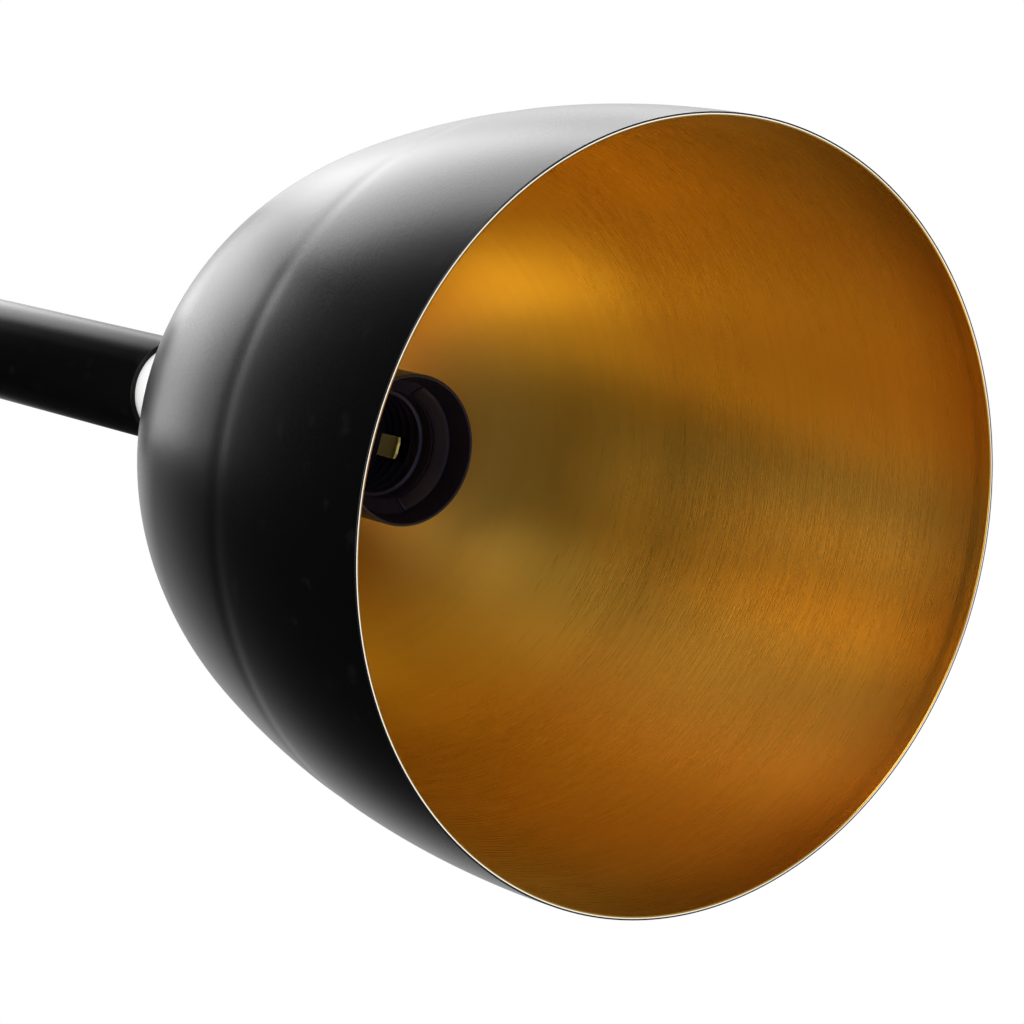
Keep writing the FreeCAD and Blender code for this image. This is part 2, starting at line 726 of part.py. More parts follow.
def knuckle_half(name, side, turned_part, neck_end, hollow):
    """One half, its cheek on side (1 is +Y), its neck above (1) or below (-1) the pivot."""
    up = side
    half_gap = slip_sheet / 2
    face = half_gap * side if side > 0 else -cheek_width
    width = cheek_width - half_gap
    cheek = rod(name + "_cheek", cheek_radius, width, (0, face, pivot_level), "Y")
    neck_start = cheek_radius + cheek_gap
    neck_low = pivot_level + neck_start if up > 0 else neck_end
    neck_length = neck_end - pivot_level - neck_start if up > 0 else pivot_level - neck_start - neck_end
    neck = rod(name + "_neck", neck_radius, neck_length, (0, 0, neck_low))
    root_low = pivot_level if up > 0 else pivot_level - neck_start
    root_rod = rod(name + "_root", neck_radius, neck_start, (0, 0, root_low))
    root_size = (neck_radius * 2, width, neck_start)
    root_side = block(name + "_root_side", root_size, (-neck_radius, face, root_low))
    root_part = common(name + "_root_half", root_rod, root_side)
    blank = joined(name + "_blank", cheek, neck, root_part, turned_part)
    cavity_face = half_gap * side if side > 0 else cheek_wall - cheek_width
    cavity_width = width - cheek_wall
    cavity_start = (0, cavity_face, pivot_level)
    cavity = rod(name + "_cavity", cheek_radius - cheek_wall, cavity_width, cavity_start, "Y")
    pillar = rod(name + "_pillar", pillar_radius, cavity_width, cavity_start, "Y")
    channel_length = neck_start + wire_radius * 4
    channel_low = pivot_level if up > 0 else pivot_level - channel_length
    channel_start = (0, channel_place * side, channel_low)
    channel = rod(name + "_channel", channel_radius, channel_length, channel_start)
    way = less(name + "_way", joined(name + "_hollow", cavity, channel, hollow), pillar)
    screw_hole = rod(name + "_screw_hole", screw_radius + screw_slack, cheek_width * 2,
                     (0, -cheek_width, pivot_level), "Y")
    return less(name + "_half", blank, way, screw_hole)


def upper_knuckle():
    """The half on the swivel: a spigot up through the plug, a flange, a neck and a cheek."""
    top = clip_level() + clip_sheet + spigot_end
    groove_low = clip_level()
    groove = spigot_radius - clip_depth
    flange_top = plug_face - slip_sheet
    flange_low = flange_top - flange_sheet
    outline = [
        (0, flange_low),
        (flange_radius, flange_low),
        (flange_radius, flange_top),
        (spigot_radius, flange_top),
        (spigot_radius, groove_low),
        (groove, groove_low),
        (groove, groove_low + clip_sheet),
        (spigot_radius, groove_low + clip_sheet),
        (spigot_radius, top),
        (0, top),
    ]
    turned_part = turned("upper_spigot", outline)
    bore_low = pivot_level + cheek_radius + cheek_gap + washer_sheet
    bore = rod("upper_bore", spigot_bore, top - bore_low, (0, 0, bore_low))
    return node(knuckle_half("upper", 1, turned_part, flange_low, bore), "upper_knuckle")


def lower_knuckle():
    """The half on the shade: a cheek, a neck and a flange tapped for the shade's nipple."""
    flange_top = seat_level + flange_sheet
    flange = ring("lower_flange", 0, flange_radius, seat_level, flange_top)
    tapped = thread_radius + thread_slack
    bore_top = pivot_level - cheek_radius - cheek_gap - washer_sheet
    bore = rod("lower_bore", tapped, bore_top - seat_level, (0, 0, seat_level))
    return node(knuckle_half("lower", -1, flange, flange_top, bore), "lower_knuckle")


def tilt_slip_washer():
    """The nylon ring between the two cheeks."""
    width = slip_sheet
    blank = rod("tilt_ring", cheek_radius, width, (0, -width / 2, pivot_level), "Y")
    middle = rod("tilt_ring_middle", cheek_radius - cheek_wall, width, (0, -width / 2, pivot_level), "Y")
    return node(less("tilt_ring_cut", blank, middle), "tilt_slip_washer")


def pivot_screw():
    """The screw that clamps the cheeks: its head on the upper half's side."""
    end = cheek_width + washer_sheet + nut_height + washer_sheet
    shank = rod("pivot_shank", screw_radius, end + cheek_width, (0, -end, pivot_level), "Y")
    head = rod("pivot_head", head_radius, head_height, (0, cheek_width, pivot_level), "Y")
    slot = block("pivot_slot", (head_radius * 2, washer_sheet, washer_sheet),
                 (-head_radius, cheek_width + head_height - washer_sheet, pivot_level - washer_sheet / 2))
    return node(less("pivot_screw_cut", joined("pivot_screw_blank", shank, head), slot), "pivot_screw")


def pivot_washer():
    start = (0, -cheek_width - washer_sheet, pivot_level)
    blank = rod("pivot_spring_blank", head_radius + washer_sheet / 2, washer_sheet, start, "Y")
    hole = rod("pivot_spring_hole", screw_radius + thread_slack, washer_sheet, start, "Y")
    return node(less("pivot_spring_cut", blank, hole), "pivot_spring_washer")


def pivot_nut():
    start = (0, -cheek_width - washer_sheet - nut_height, pivot_level)
    blank = hexagon("pivot_nut_blank", head_radius + washer_sheet / 2, nut_height, start, "Y")
    hole = rod("pivot_nut_thread", screw_radius + thread_slack, nut_height, start, "Y")
    return node(less("pivot_nut_cut", blank, hole), "pivot_nut")


# Dome and how it is clamped

def shade_saddle():
    """The turned foot between the knuckle and the dome, hollowed to the crown."""
    inner = thread_radius + screw_slack
    edge = washer_sheet
    top = seat_level
    low_inner = apex_level - crown_drop(crown_radius, inner)
    low_outer = apex_level - crown_drop(crown_radius, saddle_radius)
    outline = [(inner, low_inner, crown_radius, 1), (inner, top), (flange_radius, top),
               (saddle_radius, low_outer + edge, saddle_radius, -1), (saddle_radius, low_outer)]
    return node(turned("saddle", outline), "shade_saddle")


def shade():
    """The spun dome: one sheet, its inside parallel to its outside, cut square at the rim."""
    hole = thread_radius + screw_slack
    skirt_centre = rim_level + belly_height
    inner_skirt = skirt_radius - dome_wall
    inner_shoulder = shoulder_radius - dome_wall
    inner_crown = crown_radius - dome_wall
    crown_centre = rim_level + crown_rise
    shoulder_centre = rim_level + shoulder_rise
    inner_rim = skirt_across + root(inner_skirt * inner_skirt - belly_height * belly_height)
    skirt_top = skirt_centre + skirt_radius * skirt_sine
    outline = [
        (rim_radius, rim_level),
        (skirt_across + skirt_radius * skirt_cosine, skirt_top, skirt_radius, 1),
        (crown_radius * crown_cosine, crown_centre + crown_radius * crown_sine, shoulder_radius, 1),
        (hole, apex_level - crown_drop(crown_radius, hole), crown_radius, 1),
        (hole, apex_level - dome_wall - crown_drop(inner_crown, hole)),
        (inner_crown * crown_cosine, crown_centre + inner_crown * crown_sine, inner_crown, -1),
        (shoulder_across + inner_shoulder * skirt_cosine, shoulder_centre + inner_shoulder * skirt_sine,
         inner_shoulder, -1),
        (inner_rim, rim_level, inner_skirt, -1),
    ]
    return node(turned("dome", outline), "shade")


def inner_washer():
    inner = thread_radius + screw_slack
    low = washer_top - washer_sheet
    return node(ring("shade_ring", inner, washer_radius, low, washer_top), "shade_washer")


def shade_nut():
    low = washer_top - washer_sheet - nut_height
    prism = hexagon("shade_nut_blank", nut_radius, nut_height, (0, 0, low))
    hole = rod("shade_nut_thread", thread_radius + thread_slack, nut_height, (0, 0, low))
    return node(less("shade_nut_cut", prism, hole), "shade_nut")


def shade_nipple():
    """The hollow thread from the knuckle through the dome into the lampholder's cap."""
    top = seat_level + nut_height * 2
    low = cap_top - cap_neck_length
    return node(ring("nipple_lower", thread_bore, thread_radius, low, top), "shade_nipple")


# Lampholder

def holder_cap():
    """The upper half of the lampholder: a tapped neck, a rounded shoulder and a collar on the sleeve."""
    tapped = thread_radius + thread_slack
    outer = holder_radius - holder_edge
    collar = holder_radius - holder_wall - thread_slack
    round_radius = outer - cap_neck
    neck_low = cap_top - cap_neck_length
    outline = [
        (tapped, neck_low),
        (tapped, cap_top),
        (cap_neck, cap_top),
        (cap_neck, neck_low + cap_wall),
        (outer, neck_low + cap_wall - round_radius, round_radius, -1),
        (outer, cap_bottom),
        (collar, cap_bottom),
        (collar, sleeve_top),
        (collar - cap_wall, sleeve_top),
        (collar - cap_wall, cap_bottom + cap_wall),
    ]
    return node(turned("cap", outline), "holder_cap")


def holder_skirt():
    """The outer skirt, screwed over the cap's collar; its mouth widens to a thin rounded edge."""
    inner = holder_radius - holder_wall
    top = cap_bottom - cap_joint
    edge = holder_edge
    outline = [
        (lip_radius, front_level),
        (holder_radius - edge, front_level),
        (holder_radius, front_level + edge, edge, 1),
        (holder_radius, top),
        (inner, top),
        (inner, front_level + face_depth),
    ]
    return node(turned("skirt", outline), "holder_skirt")


def thread_sleeve():
    """The inner moulding: a sloping face, a plain opening for the lamp's cap and its thread."""
    outer = lamp_bore + sleeve_wall
    face = front_level + face_depth
    rim = holder_radius - holder_wall - thread_slack
    thread_low = front_level + lamp_bore_depth
    outline = [(outer, sleeve_top), (outer, face + face_sheet), (rim, face + face_sheet), (rim, face),
               (lamp_bore, face + guide_depth), (lamp_bore, thread_low)]
    for count in range(THREAD_TURNS):
        low = thread_low + thread_pitch * count
        for share, groove in THREAD_FORM:
            outline.append((lamp_thread + lamp_groove * groove, low + thread_pitch * share))
    outline.append((lamp_thread, thread_low + thread_pitch * THREAD_TURNS))
    outline.append((lamp_thread, sleeve_top))
    blank = turned("sleeve", outline)
    window_low = front_level + side_depth - contact_sheet
    window_size = (contact_width + contact_sheet * 2, holder_radius, side_length + core_sheet * 2)
    window_start = (-contact_width / 2 - contact_sheet, lamp_thread - sleeve_wall * 2, window_low)
    window = block("sleeve_window", window_size, window_start)
    return node(less("sleeve_cut", blank, window), "thread_sleeve")


def face_arc():
    """The raised arc on the sloping face, less than half way round, left bare."""
    rim = holder_radius - holder_wall - thread_slack
    slope = guide_depth / (rim - lamp_bore)
    outer = rim - flex_slack
    inner = lamp_bore + flex_slack
    outer_level = front_level + face_depth + slope * flex_slack
    inner_level = front_level + face_depth + slope * (rim - inner)
    body = turned("arc_ring", [(inner, inner_level - raised_sheet), (outer, outer_level - raised_sheet),
                               (outer, outer_level), (inner, inner_level)])
    body.Tip.Angle = RAISED_ARC
    start = FreeCAD.Rotation(FreeCAD.Vector(0, 0, 1), RAISED_START)
    body.Placement = FreeCAD.Placement(FreeCAD.Vector(), start)
    return node(body, "face_arc")


def holder_core():
    """The insulating disc behind the thread, which carries the contacts and the terminals."""
    inner = holder_radius - holder_wall - cap_wall - thread_slack - flex_slack
    low = sleeve_top
    disc = ring("core_disc", 0, inner, low, low + core_sheet)
    ways = [rod(f"core_way_{side}", wire_radius + screw_slack, core_sheet / 2,
                (terminal_place() * side, 0, low + core_sheet / 2)) for side in (-1, 1)]
    slot = block("core_slot", (contact_width + flex_slack, contact_sheet + flex_slack, core_sheet),
                 (-(contact_width + flex_slack) / 2, side_contact_place() - flex_slack / 2, low))
    return node(less("core_cut", disc, slot, *ways), "holder_core")


def terminal_place():
    return holder_radius / 2


def side_contact_place():
    return lamp_thread - contact_sheet - flex_slack


def side_contact():
    """The brass tongue in the sleeve's window, its tip bent inwards and cut to an octagon."""
    tip = front_level + side_depth
    knee = tip + tip_length
    top = sleeve_top + core_sheet
    inner = side_contact_place()
    outer = inner + contact_sheet
    half = contact_width / 2
    cut = contact_width / 4
    bend = [
        (inner - tip_lean, tip),
        (outer - tip_lean, tip),
        (outer, knee),
        (outer, top),
        (inner, top),
        (inner, knee),
    ]
    front = [
        (-half, tip + cut),
        (-half + cut, tip),
        (half - cut, tip),
        (half, tip + cut),
        (half, top),
        (-half, top),
    ]
    bent = extruded("side_tongue", "YZ_Plane", bend, contact_width)
    plan = extruded("side_plan", "XZ_Plane", front, holder_radius * 2)
    return node(common("side_contact_cut", bent, plan), "side_contact")


def contact_level():
    return sleeve_top - flex_slack


def centre_contact():
    """The sprung brass tongue for the lamp's tip, bowed down from its root."""
    radius = contact_sheet / 2
    root_up = contact_level() - radius
    low = root_up - contact_rise
    start = -contact_root
    outline = [
        (start, root_up - radius),
        (-contact_width / 2, low - radius),
        (contact_width / 2, low - radius),
        (contact_width / 2, low + radius),
        (-contact_width / 2, low + radius),
        (start, root_up + radius),
    ]
    tongue = extruded("centre_tongue", "YZ_Plane", outline, contact_width)
    curl = rod("centre_curl", radius, contact_width, (-contact_width / 2, start, root_up), "X")
    return node(joined("centre_contact_blank", tongue, curl), "centre_contact")


def contact_rivet():
    """The rivet block that the centre contact springs from."""
    level = contact_level() - contact_sheet / 2
    reach = contact_sheet / 2 + slide_slack
    width = contact_width
    outer = contact_root + contact_sheet * 2
    blank = block("rivet_block", (width, contact_sheet * 2, flex_slack + contact_sheet),
                  (-width / 2, -outer, sleeve_top - flex_slack - contact_sheet))
    way = rod("rivet_way", reach, width, (-width / 2, -contact_root, level), "X")
    return node(less("rivet_cut", blank, way), "contact_clip")


def holder_terminals():
    """Brass terminal blocks on the core, one for each wire."""
    low = sleeve_top + core_sheet
    parts = []
    for side in (-1, 1):
        body = block(f"holder_terminal_{side}", (contact_width, contact_width, nut_height),
                     (terminal_place() * side - contact_width / 2, -contact_width / 2, low))
        way = rod(f"holder_terminal_way_{side}", wire_radius + screw_slack, nut_height,
                  (terminal_place() * side, 0, low))
        parts.append(less(f"holder_terminal_cut_{side}", body, way))
    return node(grouped("holder_terminal_set", *parts), "holder_terminals")


# Wires, held inside all the way

def spigot_top():
    return clip_level() + clip_sheet + spigot_end


def stem_wires():
    """Live and neutral from the terminal block, over the nipple's top and down the tube."""
    out = -bracket_width / 2 - wire_radius * 3
    pole_level = -bracket_drop - block_height / 2
    for (kind, side), across in zip(WIRE_SIDES.items(), pole_places()):
        over = -wire_radius * 3 - wire_pair * side
        wire(f"stem_{kind}_wire", [
            (wire_pair * side, 0, spigot_top() + wire_radius),
            (wire_pair * side, 0, over),
            (across, out, over),
            (across, out, pole_level),
            (across, -block_width / 4, pole_level),
        ])


def earth_wire():
    """The earth lead from the terminal block to the tag on the strap."""
    over = -wire_radius * 2 - washer_sheet / 2
    out = -bracket_width / 2 - wire_radius * 6
    pole_level = -bracket_drop - block_height / 2
    across = pole_places()[2]
    tag_level = ring_tag_top() + wire_radius
    wire("earth_wire", [
        (across, -block_width / 4, pole_level),
        (across, out, pole_level),
        (across, out, over),
        (-earth_place, out, over),
        (-earth_place, out, tag_level),
        (-earth_place, -washer_radius, tag_level),
    ])


def knuckle_wires():
    """The wires in the swivel, from the spigot's top to the middle of the knuckle."""
    cross = pivot_level + cheek_radius / 2 + wire_radius / 2
    for kind, side in WIRE_SIDES.items():
        across = wire_pair * side
        wire(f"knuckle_{kind}_wire", [
            (across, 0, spigot_top()),
            (across, 0, plug_face - flange_sheet),
            (across, channel_place, pivot_level + cheek_radius - cheek_gap),
            (across, channel_place, cross),
            (across, 0, cross),
        ])


def holder_wires():
    """The wires on the shade's side, round the pivot's pillar and down to the lampholder."""
    cross = pivot_level + cheek_radius / 2 + wire_radius / 2
    aside = pillar_radius + wire_radius * 2
    terminal_top = sleeve_top + core_sheet + nut_height
    for kind, side in WIRE_SIDES.items():
        across = wire_pair * side
        wire(f"holder_{kind}_wire", [
            (across, 0, cross),
            (across, -channel_place, cross),
            (aside * side, -channel_place, pivot_level),
            (across, -channel_place, pivot_level - cheek_radius + wire_radius),
            (across, -channel_place + wire_radius, pivot_level - cheek_radius - wire_radius * 2),
            (across, 0, seat_level),
            (across, 0, cap_top - cap_neck_length),
            (terminal_place() * side, 0, terminal_top + cap_wall),
            (terminal_place() * side, 0, sleeve_top + core_sheet),
        ])


for make in (
    ceiling_bracket, top_nipple, nipple_nut, nipple_washer, earth_screw, earth_tag,
    terminal_block, terminal_screws, canopy_cup, canopy_collar, collar_screw,
    stem_tube, grub_screws, top_plug, end_plug, stop_pin,
    swivel_slip_washers, stop_washer, wave_washer, retaining_ring,
    upper_knuckle, lower_knuckle, tilt_slip_washer, pivot_screw, pivot_washer, pivot_nut,
    shade_saddle, shade, inner_washer, shade_nut, shade_nipple,
    holder_cap, holder_skirt, thread_sleeve, face_arc, holder_core,
    side_contact, centre_contact, contact_rivet, holder_terminals,
    stem_wires, earth_wire, knuckle_wires, holder_wires,
):
    make()

document.recompute()
for thing in document.Objects:
    if "Invalid" in thing.State or "Error" in thing.State:
        raise RuntimeError(f"{thing.Name} failed: {thing.State}")
os.makedirs("parts", exist_ok=True)
for thing in nodes:
    if thing.Shape.isNull() or not thing.Shape.isValid():
        raise RuntimeError(f"{thing.Label} has no valid shape")
    thing.Shape.exportStep(f"parts/{thing.Label}.step")
    print(f"{thing.Label}: {len(thing.Shape.Solids)} solids, {thing.Shape.Volume:.1f} mm3")
levels = {"rim": rim_level, "front": front_level, "sleeve top": sleeve_top, "pivot": pivot_level}
for name, level in levels.items():
    print(f"{name} level {level.value:.3f}")
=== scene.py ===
# %% [markdown]
# # A pendant lamp with a spun metal dome
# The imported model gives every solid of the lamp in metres: canopy, tube, knuckle, dome and
# lampholder. Nothing here moves them. This lesson gives each surface its finish, and makes the
# pieces whose shape needs more than the solids have: the spun sheet with its groove, and the
# mouldings of the lampholder with their rounded edges and their thread.

import math

import bpy
import numpy as np
from mathutils import Matrix, Vector


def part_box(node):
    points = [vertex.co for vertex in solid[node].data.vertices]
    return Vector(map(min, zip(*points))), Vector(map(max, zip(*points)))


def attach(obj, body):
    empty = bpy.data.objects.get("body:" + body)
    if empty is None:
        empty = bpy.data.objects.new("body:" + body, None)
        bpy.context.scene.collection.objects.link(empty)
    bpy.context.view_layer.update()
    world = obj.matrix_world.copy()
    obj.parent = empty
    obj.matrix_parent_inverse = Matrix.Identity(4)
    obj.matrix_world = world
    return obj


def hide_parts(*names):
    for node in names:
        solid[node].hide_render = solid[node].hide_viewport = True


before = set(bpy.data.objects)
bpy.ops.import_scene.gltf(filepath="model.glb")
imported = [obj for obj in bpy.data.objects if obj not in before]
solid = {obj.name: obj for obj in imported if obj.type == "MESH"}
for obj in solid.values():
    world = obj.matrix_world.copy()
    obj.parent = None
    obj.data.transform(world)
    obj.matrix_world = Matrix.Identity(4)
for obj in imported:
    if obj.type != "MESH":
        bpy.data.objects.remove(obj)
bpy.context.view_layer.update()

# %% [markdown]
# ## Small tools for finishes
# A material is a graph of nodes, and sums in it take many of them. Wrapping a socket in a class
# that knows plus, minus and times lets a pattern be written as an ordinary expression, which is
# shorter and easier to change than a picture of boxes and lines.

# %% A socket that can be added and multiplied
class Wire:
    """An output socket that takes part in Python sums: each operator adds one Math node."""

    def __init__(self, graph, socket):
        self.graph = graph
        self.socket = socket

    def sum(self, operation, *values):
        """One Math node that does this operation on the values."""
        inputs = dict(enumerate(values))
        return self.graph.node("ShaderNodeMath", {"operation": operation}, inputs)

    def __add__(self, other):
        return self.sum("ADD", self, other)

    def __sub__(self, other):
        return self.sum("SUBTRACT", self, other)

    def __rsub__(self, other):
        return self.sum("SUBTRACT", other, self)

    def __mul__(self, other):
        return self.sum("MULTIPLY", self, other)

    __radd__ = __add__
    __rmul__ = __mul__

    def fraction(self):
        return self.sum("FRACT", self)

    def power(self, exponent):
        return self.sum("POWER", self, exponent)

    def above(self, level, width):
        """0 below the level and 1 above it, with a soft step of this width."""
        return self.graph.node("ShaderNodeMapRange", {"interpolation_type": "SMOOTHSTEP"},
                               {0: self, 1: level - width / 2, 2: level + width / 2})


# %% A node tree with one method for any node
class Graph:
    """A node tree: values and links go into sockets, and any node comes from one method."""

    def __init__(self, tree):
        self.tree = tree

    def connect(self, socket, value):
        if isinstance(value, Wire):
            self.tree.links.new(value.socket, socket)
        else:
            socket.default_value = value

    def node(self, kind, settings=None, inputs=None, out=0):
        """A node of this type: its settings first, then the values or links of its sockets.

        The stops of a ramp are pairs of a position and a colour.
        """
        made = self.tree.nodes.new(kind)
        for key, value in (settings or {}).items():
            if key == "stops":
                ramp = made.color_ramp.elements
                while len(ramp) < len(value):
                    ramp.new(0.5)
                for stop, (position, color) in zip(ramp, value):
                    stop.position = position
                    stop.color = (*color, 1.0)
            else:
                setattr(made, key, value)
        for key, value in (inputs or {}).items():
            self.connect(made.inputs[key], value)
        return Wire(self, made.outputs[out]) if made.outputs else None


# %% A finish
class Finish(Graph):
    """A material on the Principled shader. Sockets that are the same all over are set on it.

    x, y and z are the piece's own coordinates.
    """

    def __init__(self, name, color, **constants):
        self.material = bpy.data.materials.new(name)
        self.material.use_nodes = True
        super().__init__(self.material.node_tree)
        self.shader = self.tree.nodes["Principled BSDF"]
        self.feed("Base Color", (*color, 1.0))
        for socket, value in constants.items():
            self.feed(socket.replace("_", " "), value)
        self.place = self.node("ShaderNodeTexCoord", out="Object")
        self.x, self.y, self.z = (
            self.node("ShaderNodeSeparateXYZ", {}, {0: self.place}, out=axis) for axis in "XYZ")

    def feed(self, socket, value):
        self.connect(self.shader.inputs[socket], value)

    def noise(self, scale, detail=3.0, by_axis=(1, 1, 1)):
        """Noise from 0 to 1 on the piece's own coordinates, each times its number in by_axis.

        A number above 1 makes the pattern finer along that axis, and one below 1 draws it out.
        """
        place = self.node("ShaderNodeMapping", {}, {"Vector": self.place, "Scale": by_axis})
        inputs = {"Vector": place, "Scale": scale, "Detail": detail}
        return self.node("ShaderNodeTexNoise", {}, inputs)

    def mix(self, share, one, two):
        """The colour one where share is 0 and two where it is 1."""
        return self.node("ShaderNodeMix", {"data_type": "RGBA"}, {0: share, 6: one, 7: two}, out=2)

    def bump(self, height, distance):
        """Relief from a height between 0 and 1, that deep in metres."""
        inputs = {"Height": height, "Distance": distance}
        self.feed("Normal", self.node("ShaderNodeBump", {}, inputs))


def shade_of(color, factor=1.0):
    """The colour times the factor, at most 1, with the fourth number that sockets ask for."""
    return (*(min(1.0, part * factor) for part in color), 1.0)


print("tools for finishes are ready")

# %% [markdown]
# ## Satin black paint
# The outside of the dome, the tube, the canopy and the saddle are one powder-coated black. Up
# close such paint isn't smooth: it has a faint orange-peel of about a millimetre and a finer
# grain that breaks up reflections. Both go into roughness and a very shallow bump, because the
# colour is nearly even: a little dust is all that lightens it.

# %% Black paint
PAINT_COLOR, DUST_COLOR = (0.0012, 0.0012, 0.0014), (0.012, 0.012, 0.013)
PEEL_DEPTH = 0.00002


def black_paint():
    finish = Finish("satin_black_paint", PAINT_COLOR, Specular_IOR_Level=0.25)
    peel = finish.noise(900.0, 2.0)
    grain = finish.noise(5200.0, 2.0)
    cloud = finish.noise(14.0, 3.0)
    dust = finish.noise(160.0, 4.0).above(0.66, 0.1)
    finish.feed("Roughness", 0.22 + cloud * 0.08 + grain * 0.05)
    dusty = finish.mix(dust * 0.25, shade_of(PAINT_COLOR), shade_of(DUST_COLOR))
    finish.feed("Base Color", dusty)
    finish.bump(peel * 0.7 + grain * 0.3, PEEL_DEPTH)
    return finish.material


BLACK = black_paint()
print("finish:", BLACK.name)

# %% [markdown]
# ## Brushed gold inside the dome
# The inside is lacquered metal, brushed round and round while it spun on the lathe. Each
# scratch is a short arc about the dome's axis. Noise that is fine along the profile and long
# round the axis gives such arcs, so the pattern needs two coordinates: the angle about the
# axis, and the distance along the profile, for which radius and height together do. Shade is
# painted into its colour twice: the crown is painted darker round the lampholder, and so is
# the band towards the rim.

# %% A finish for turned pieces
class TurnedFinish(Finish):
    """A finish that also knows the way round the piece's Z axis and the distance from it.

    The angle is the arc tangent of y over x, the radius the root of x squared plus y squared.
    """

    def __init__(self, name, color, **constants):
        super().__init__(name, color, **constants)
        self.angle = self.node("ShaderNodeMath", {"operation": "ARCTAN2"}, {0: self.y, 1: self.x})
        self.radius = (self.x * self.x + self.y * self.y).power(0.5)

    def arcs(self, fine, turns):
        """Noise on (angle times turns, radius times fine, z times fine)."""
        place = self.node("ShaderNodeCombineXYZ", {}, {
            0: self.angle * turns, 1: self.radius * fine, 2: self.z * fine})
        return self.node("ShaderNodeTexNoise", {}, {
            "Vector": place, "Scale": 1.0, "Detail": 4.0, "Roughness": 0.6})


print("turned finishes are ready")

# %% Gold with arcs round the axis
GOLD_COLOR = (0.95, 0.63, 0.12)
# Painted shade: the second colour on the next line darkens the crown round the lampholder, and the
# first darkens the band beside the rim.
RIM_SHADE_COLOR, CROWN_SHADE_COLOR = (0.62, 0.34, 0.05), (0.3, 0.125, 0.018)
RIM_SHADE_TOP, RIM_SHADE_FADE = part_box("shade")[0].z + 0.016, 0.034
CROWN_RADIUS, CROWN_FADE = 0.06, 0.05
SCRATCH_DEPTH = 0.000006


def gold_inside():
    """Brushed metal with painted shade: darker near the axis round the lampholder, and beside the
    rim.
    """
    finish = TurnedFinish("brushed_gold", GOLD_COLOR, Metallic=1.0, Anisotropic=0.85,
                          Anisotropic_Rotation=0.25)
    scratches = finish.arcs(3800.0, 5.0)
    bands = finish.arcs(420.0, 1.3)
    cloud = finish.noise(16.0, 3.0)
    skirt = finish.radius.above(CROWN_RADIUS, CROWN_FADE)
    brushed = finish.mix(bands * 0.55 + scratches * 0.25,
                         shade_of(GOLD_COLOR, 0.82), shade_of(GOLD_COLOR, 1.06))
    # Painted shade: below the fade the colour goes darker towards the rim.
    rim_shaded = finish.mix(finish.z.above(RIM_SHADE_TOP, RIM_SHADE_FADE), shade_of(RIM_SHADE_COLOR), brushed)
    # Painted shade: near the axis, round the lampholder, the colour goes over to the darker crown
    # colour.
    finish.feed("Base Color", finish.mix(skirt, shade_of(CROWN_SHADE_COLOR), rim_shaded))
    finish.feed("Roughness", 0.26 - skirt * 0.06 + scratches * 0.1 + cloud * 0.06)
    finish.bump(scratches, SCRATCH_DEPTH)
    return finish.material


GOLD = gold_inside()
print("finish:", GOLD.name)

# %% [markdown]
# ## Bare rim
# Where the sheet was cut square at the rim, neither paint nor lacquer holds, so a thin pale
# line of metal shows all round. It is a separate finish on the same piece.

# %% Cut metal edge
EDGE_COLOR, MARK_COLOR = (0.98, 0.95, 0.87), (0.84, 0.8, 0.7)


def cut_edge():
    finish = TurnedFinish("cut_metal_edge", EDGE_COLOR, Metallic=0.15)
    marks = finish.arcs(9000.0, 60.0)
    finish.feed("Base Color", finish.mix(marks, shade_of(EDGE_COLOR), shade_of(MARK_COLOR)))
    finish.feed("Roughness", 0.35 + marks * 0.2)
    return finish.material


EDGE = cut_edge()
print("finish:", EDGE.name)

# %% [markdown]
# ## Dark phenolic
# The lampholder is moulded from a resin that is nearly black, with a faint violet in it. It is a
# little duller than the paint and shows a faint flow pattern from the mould. Its sheen stays cool
# in the gold light of the dome, so the tint of its highlights is a pale blue.

# %% Phenolic moulding
RESIN_DARK, RESIN_LIGHT = (0.008, 0.0065, 0.014), (0.016, 0.0125, 0.026)


def phenolic():
    finish = Finish("dark_phenolic", RESIN_DARK, Specular_IOR_Level=0.25,
                    Specular_Tint=(0.6, 0.62, 1.0, 1.0))
    flow = finish.noise(55.0, 5.0, (1.0, 1.0, 0.3))
    grain = finish.noise(2600.0, 2.0)
    finish.feed("Base Color", finish.mix(flow, shade_of(RESIN_DARK), shade_of(RESIN_LIGHT)))
    finish.feed("Roughness", 0.32 + flow * 0.14 + grain * 0.05)
    finish.bump(grain * 0.5 + flow * 0.5, 0.000015)
    return finish.material


PHENOLIC = phenolic()
print("finish:", PHENOLIC.name)

# %% [markdown]
# ## Metals
# Turned nickel, zinc-plated pressings, blackened grub screws and bare brass differ in colour,
# in how wide their highlights are, and in the marks of how they were made. One function with
# these as its values makes them all.

# %% One function for the metals
def metal(name, color, rough, marks=(1.0, 1.0, 1.0), mark_scale=1400.0, stain=0.12,
          relief=0.00001, bright=1.0):
    """Metal with tool marks, and slow stains over its colour and gloss.

    marks says how fine the tool marks are along x, y and z: below 1 they are drawn out. bright
    is 1 for clean metal and less for metal that has gone dull.
    """
    finish = Finish(name, color, Metallic=bright)
    tool = finish.noise(mark_scale, 3.0, marks)
    cloud = finish.noise(70.0, 4.0)
    stained = finish.mix(cloud * stain + tool * stain, shade_of(color), shade_of(color, 0.45))
    finish.feed("Base Color", stained)
    finish.feed("Roughness", rough * 0.75 + tool * rough * 0.35 + cloud * rough * 0.25)
    finish.bump(tool, relief)
    return finish.material


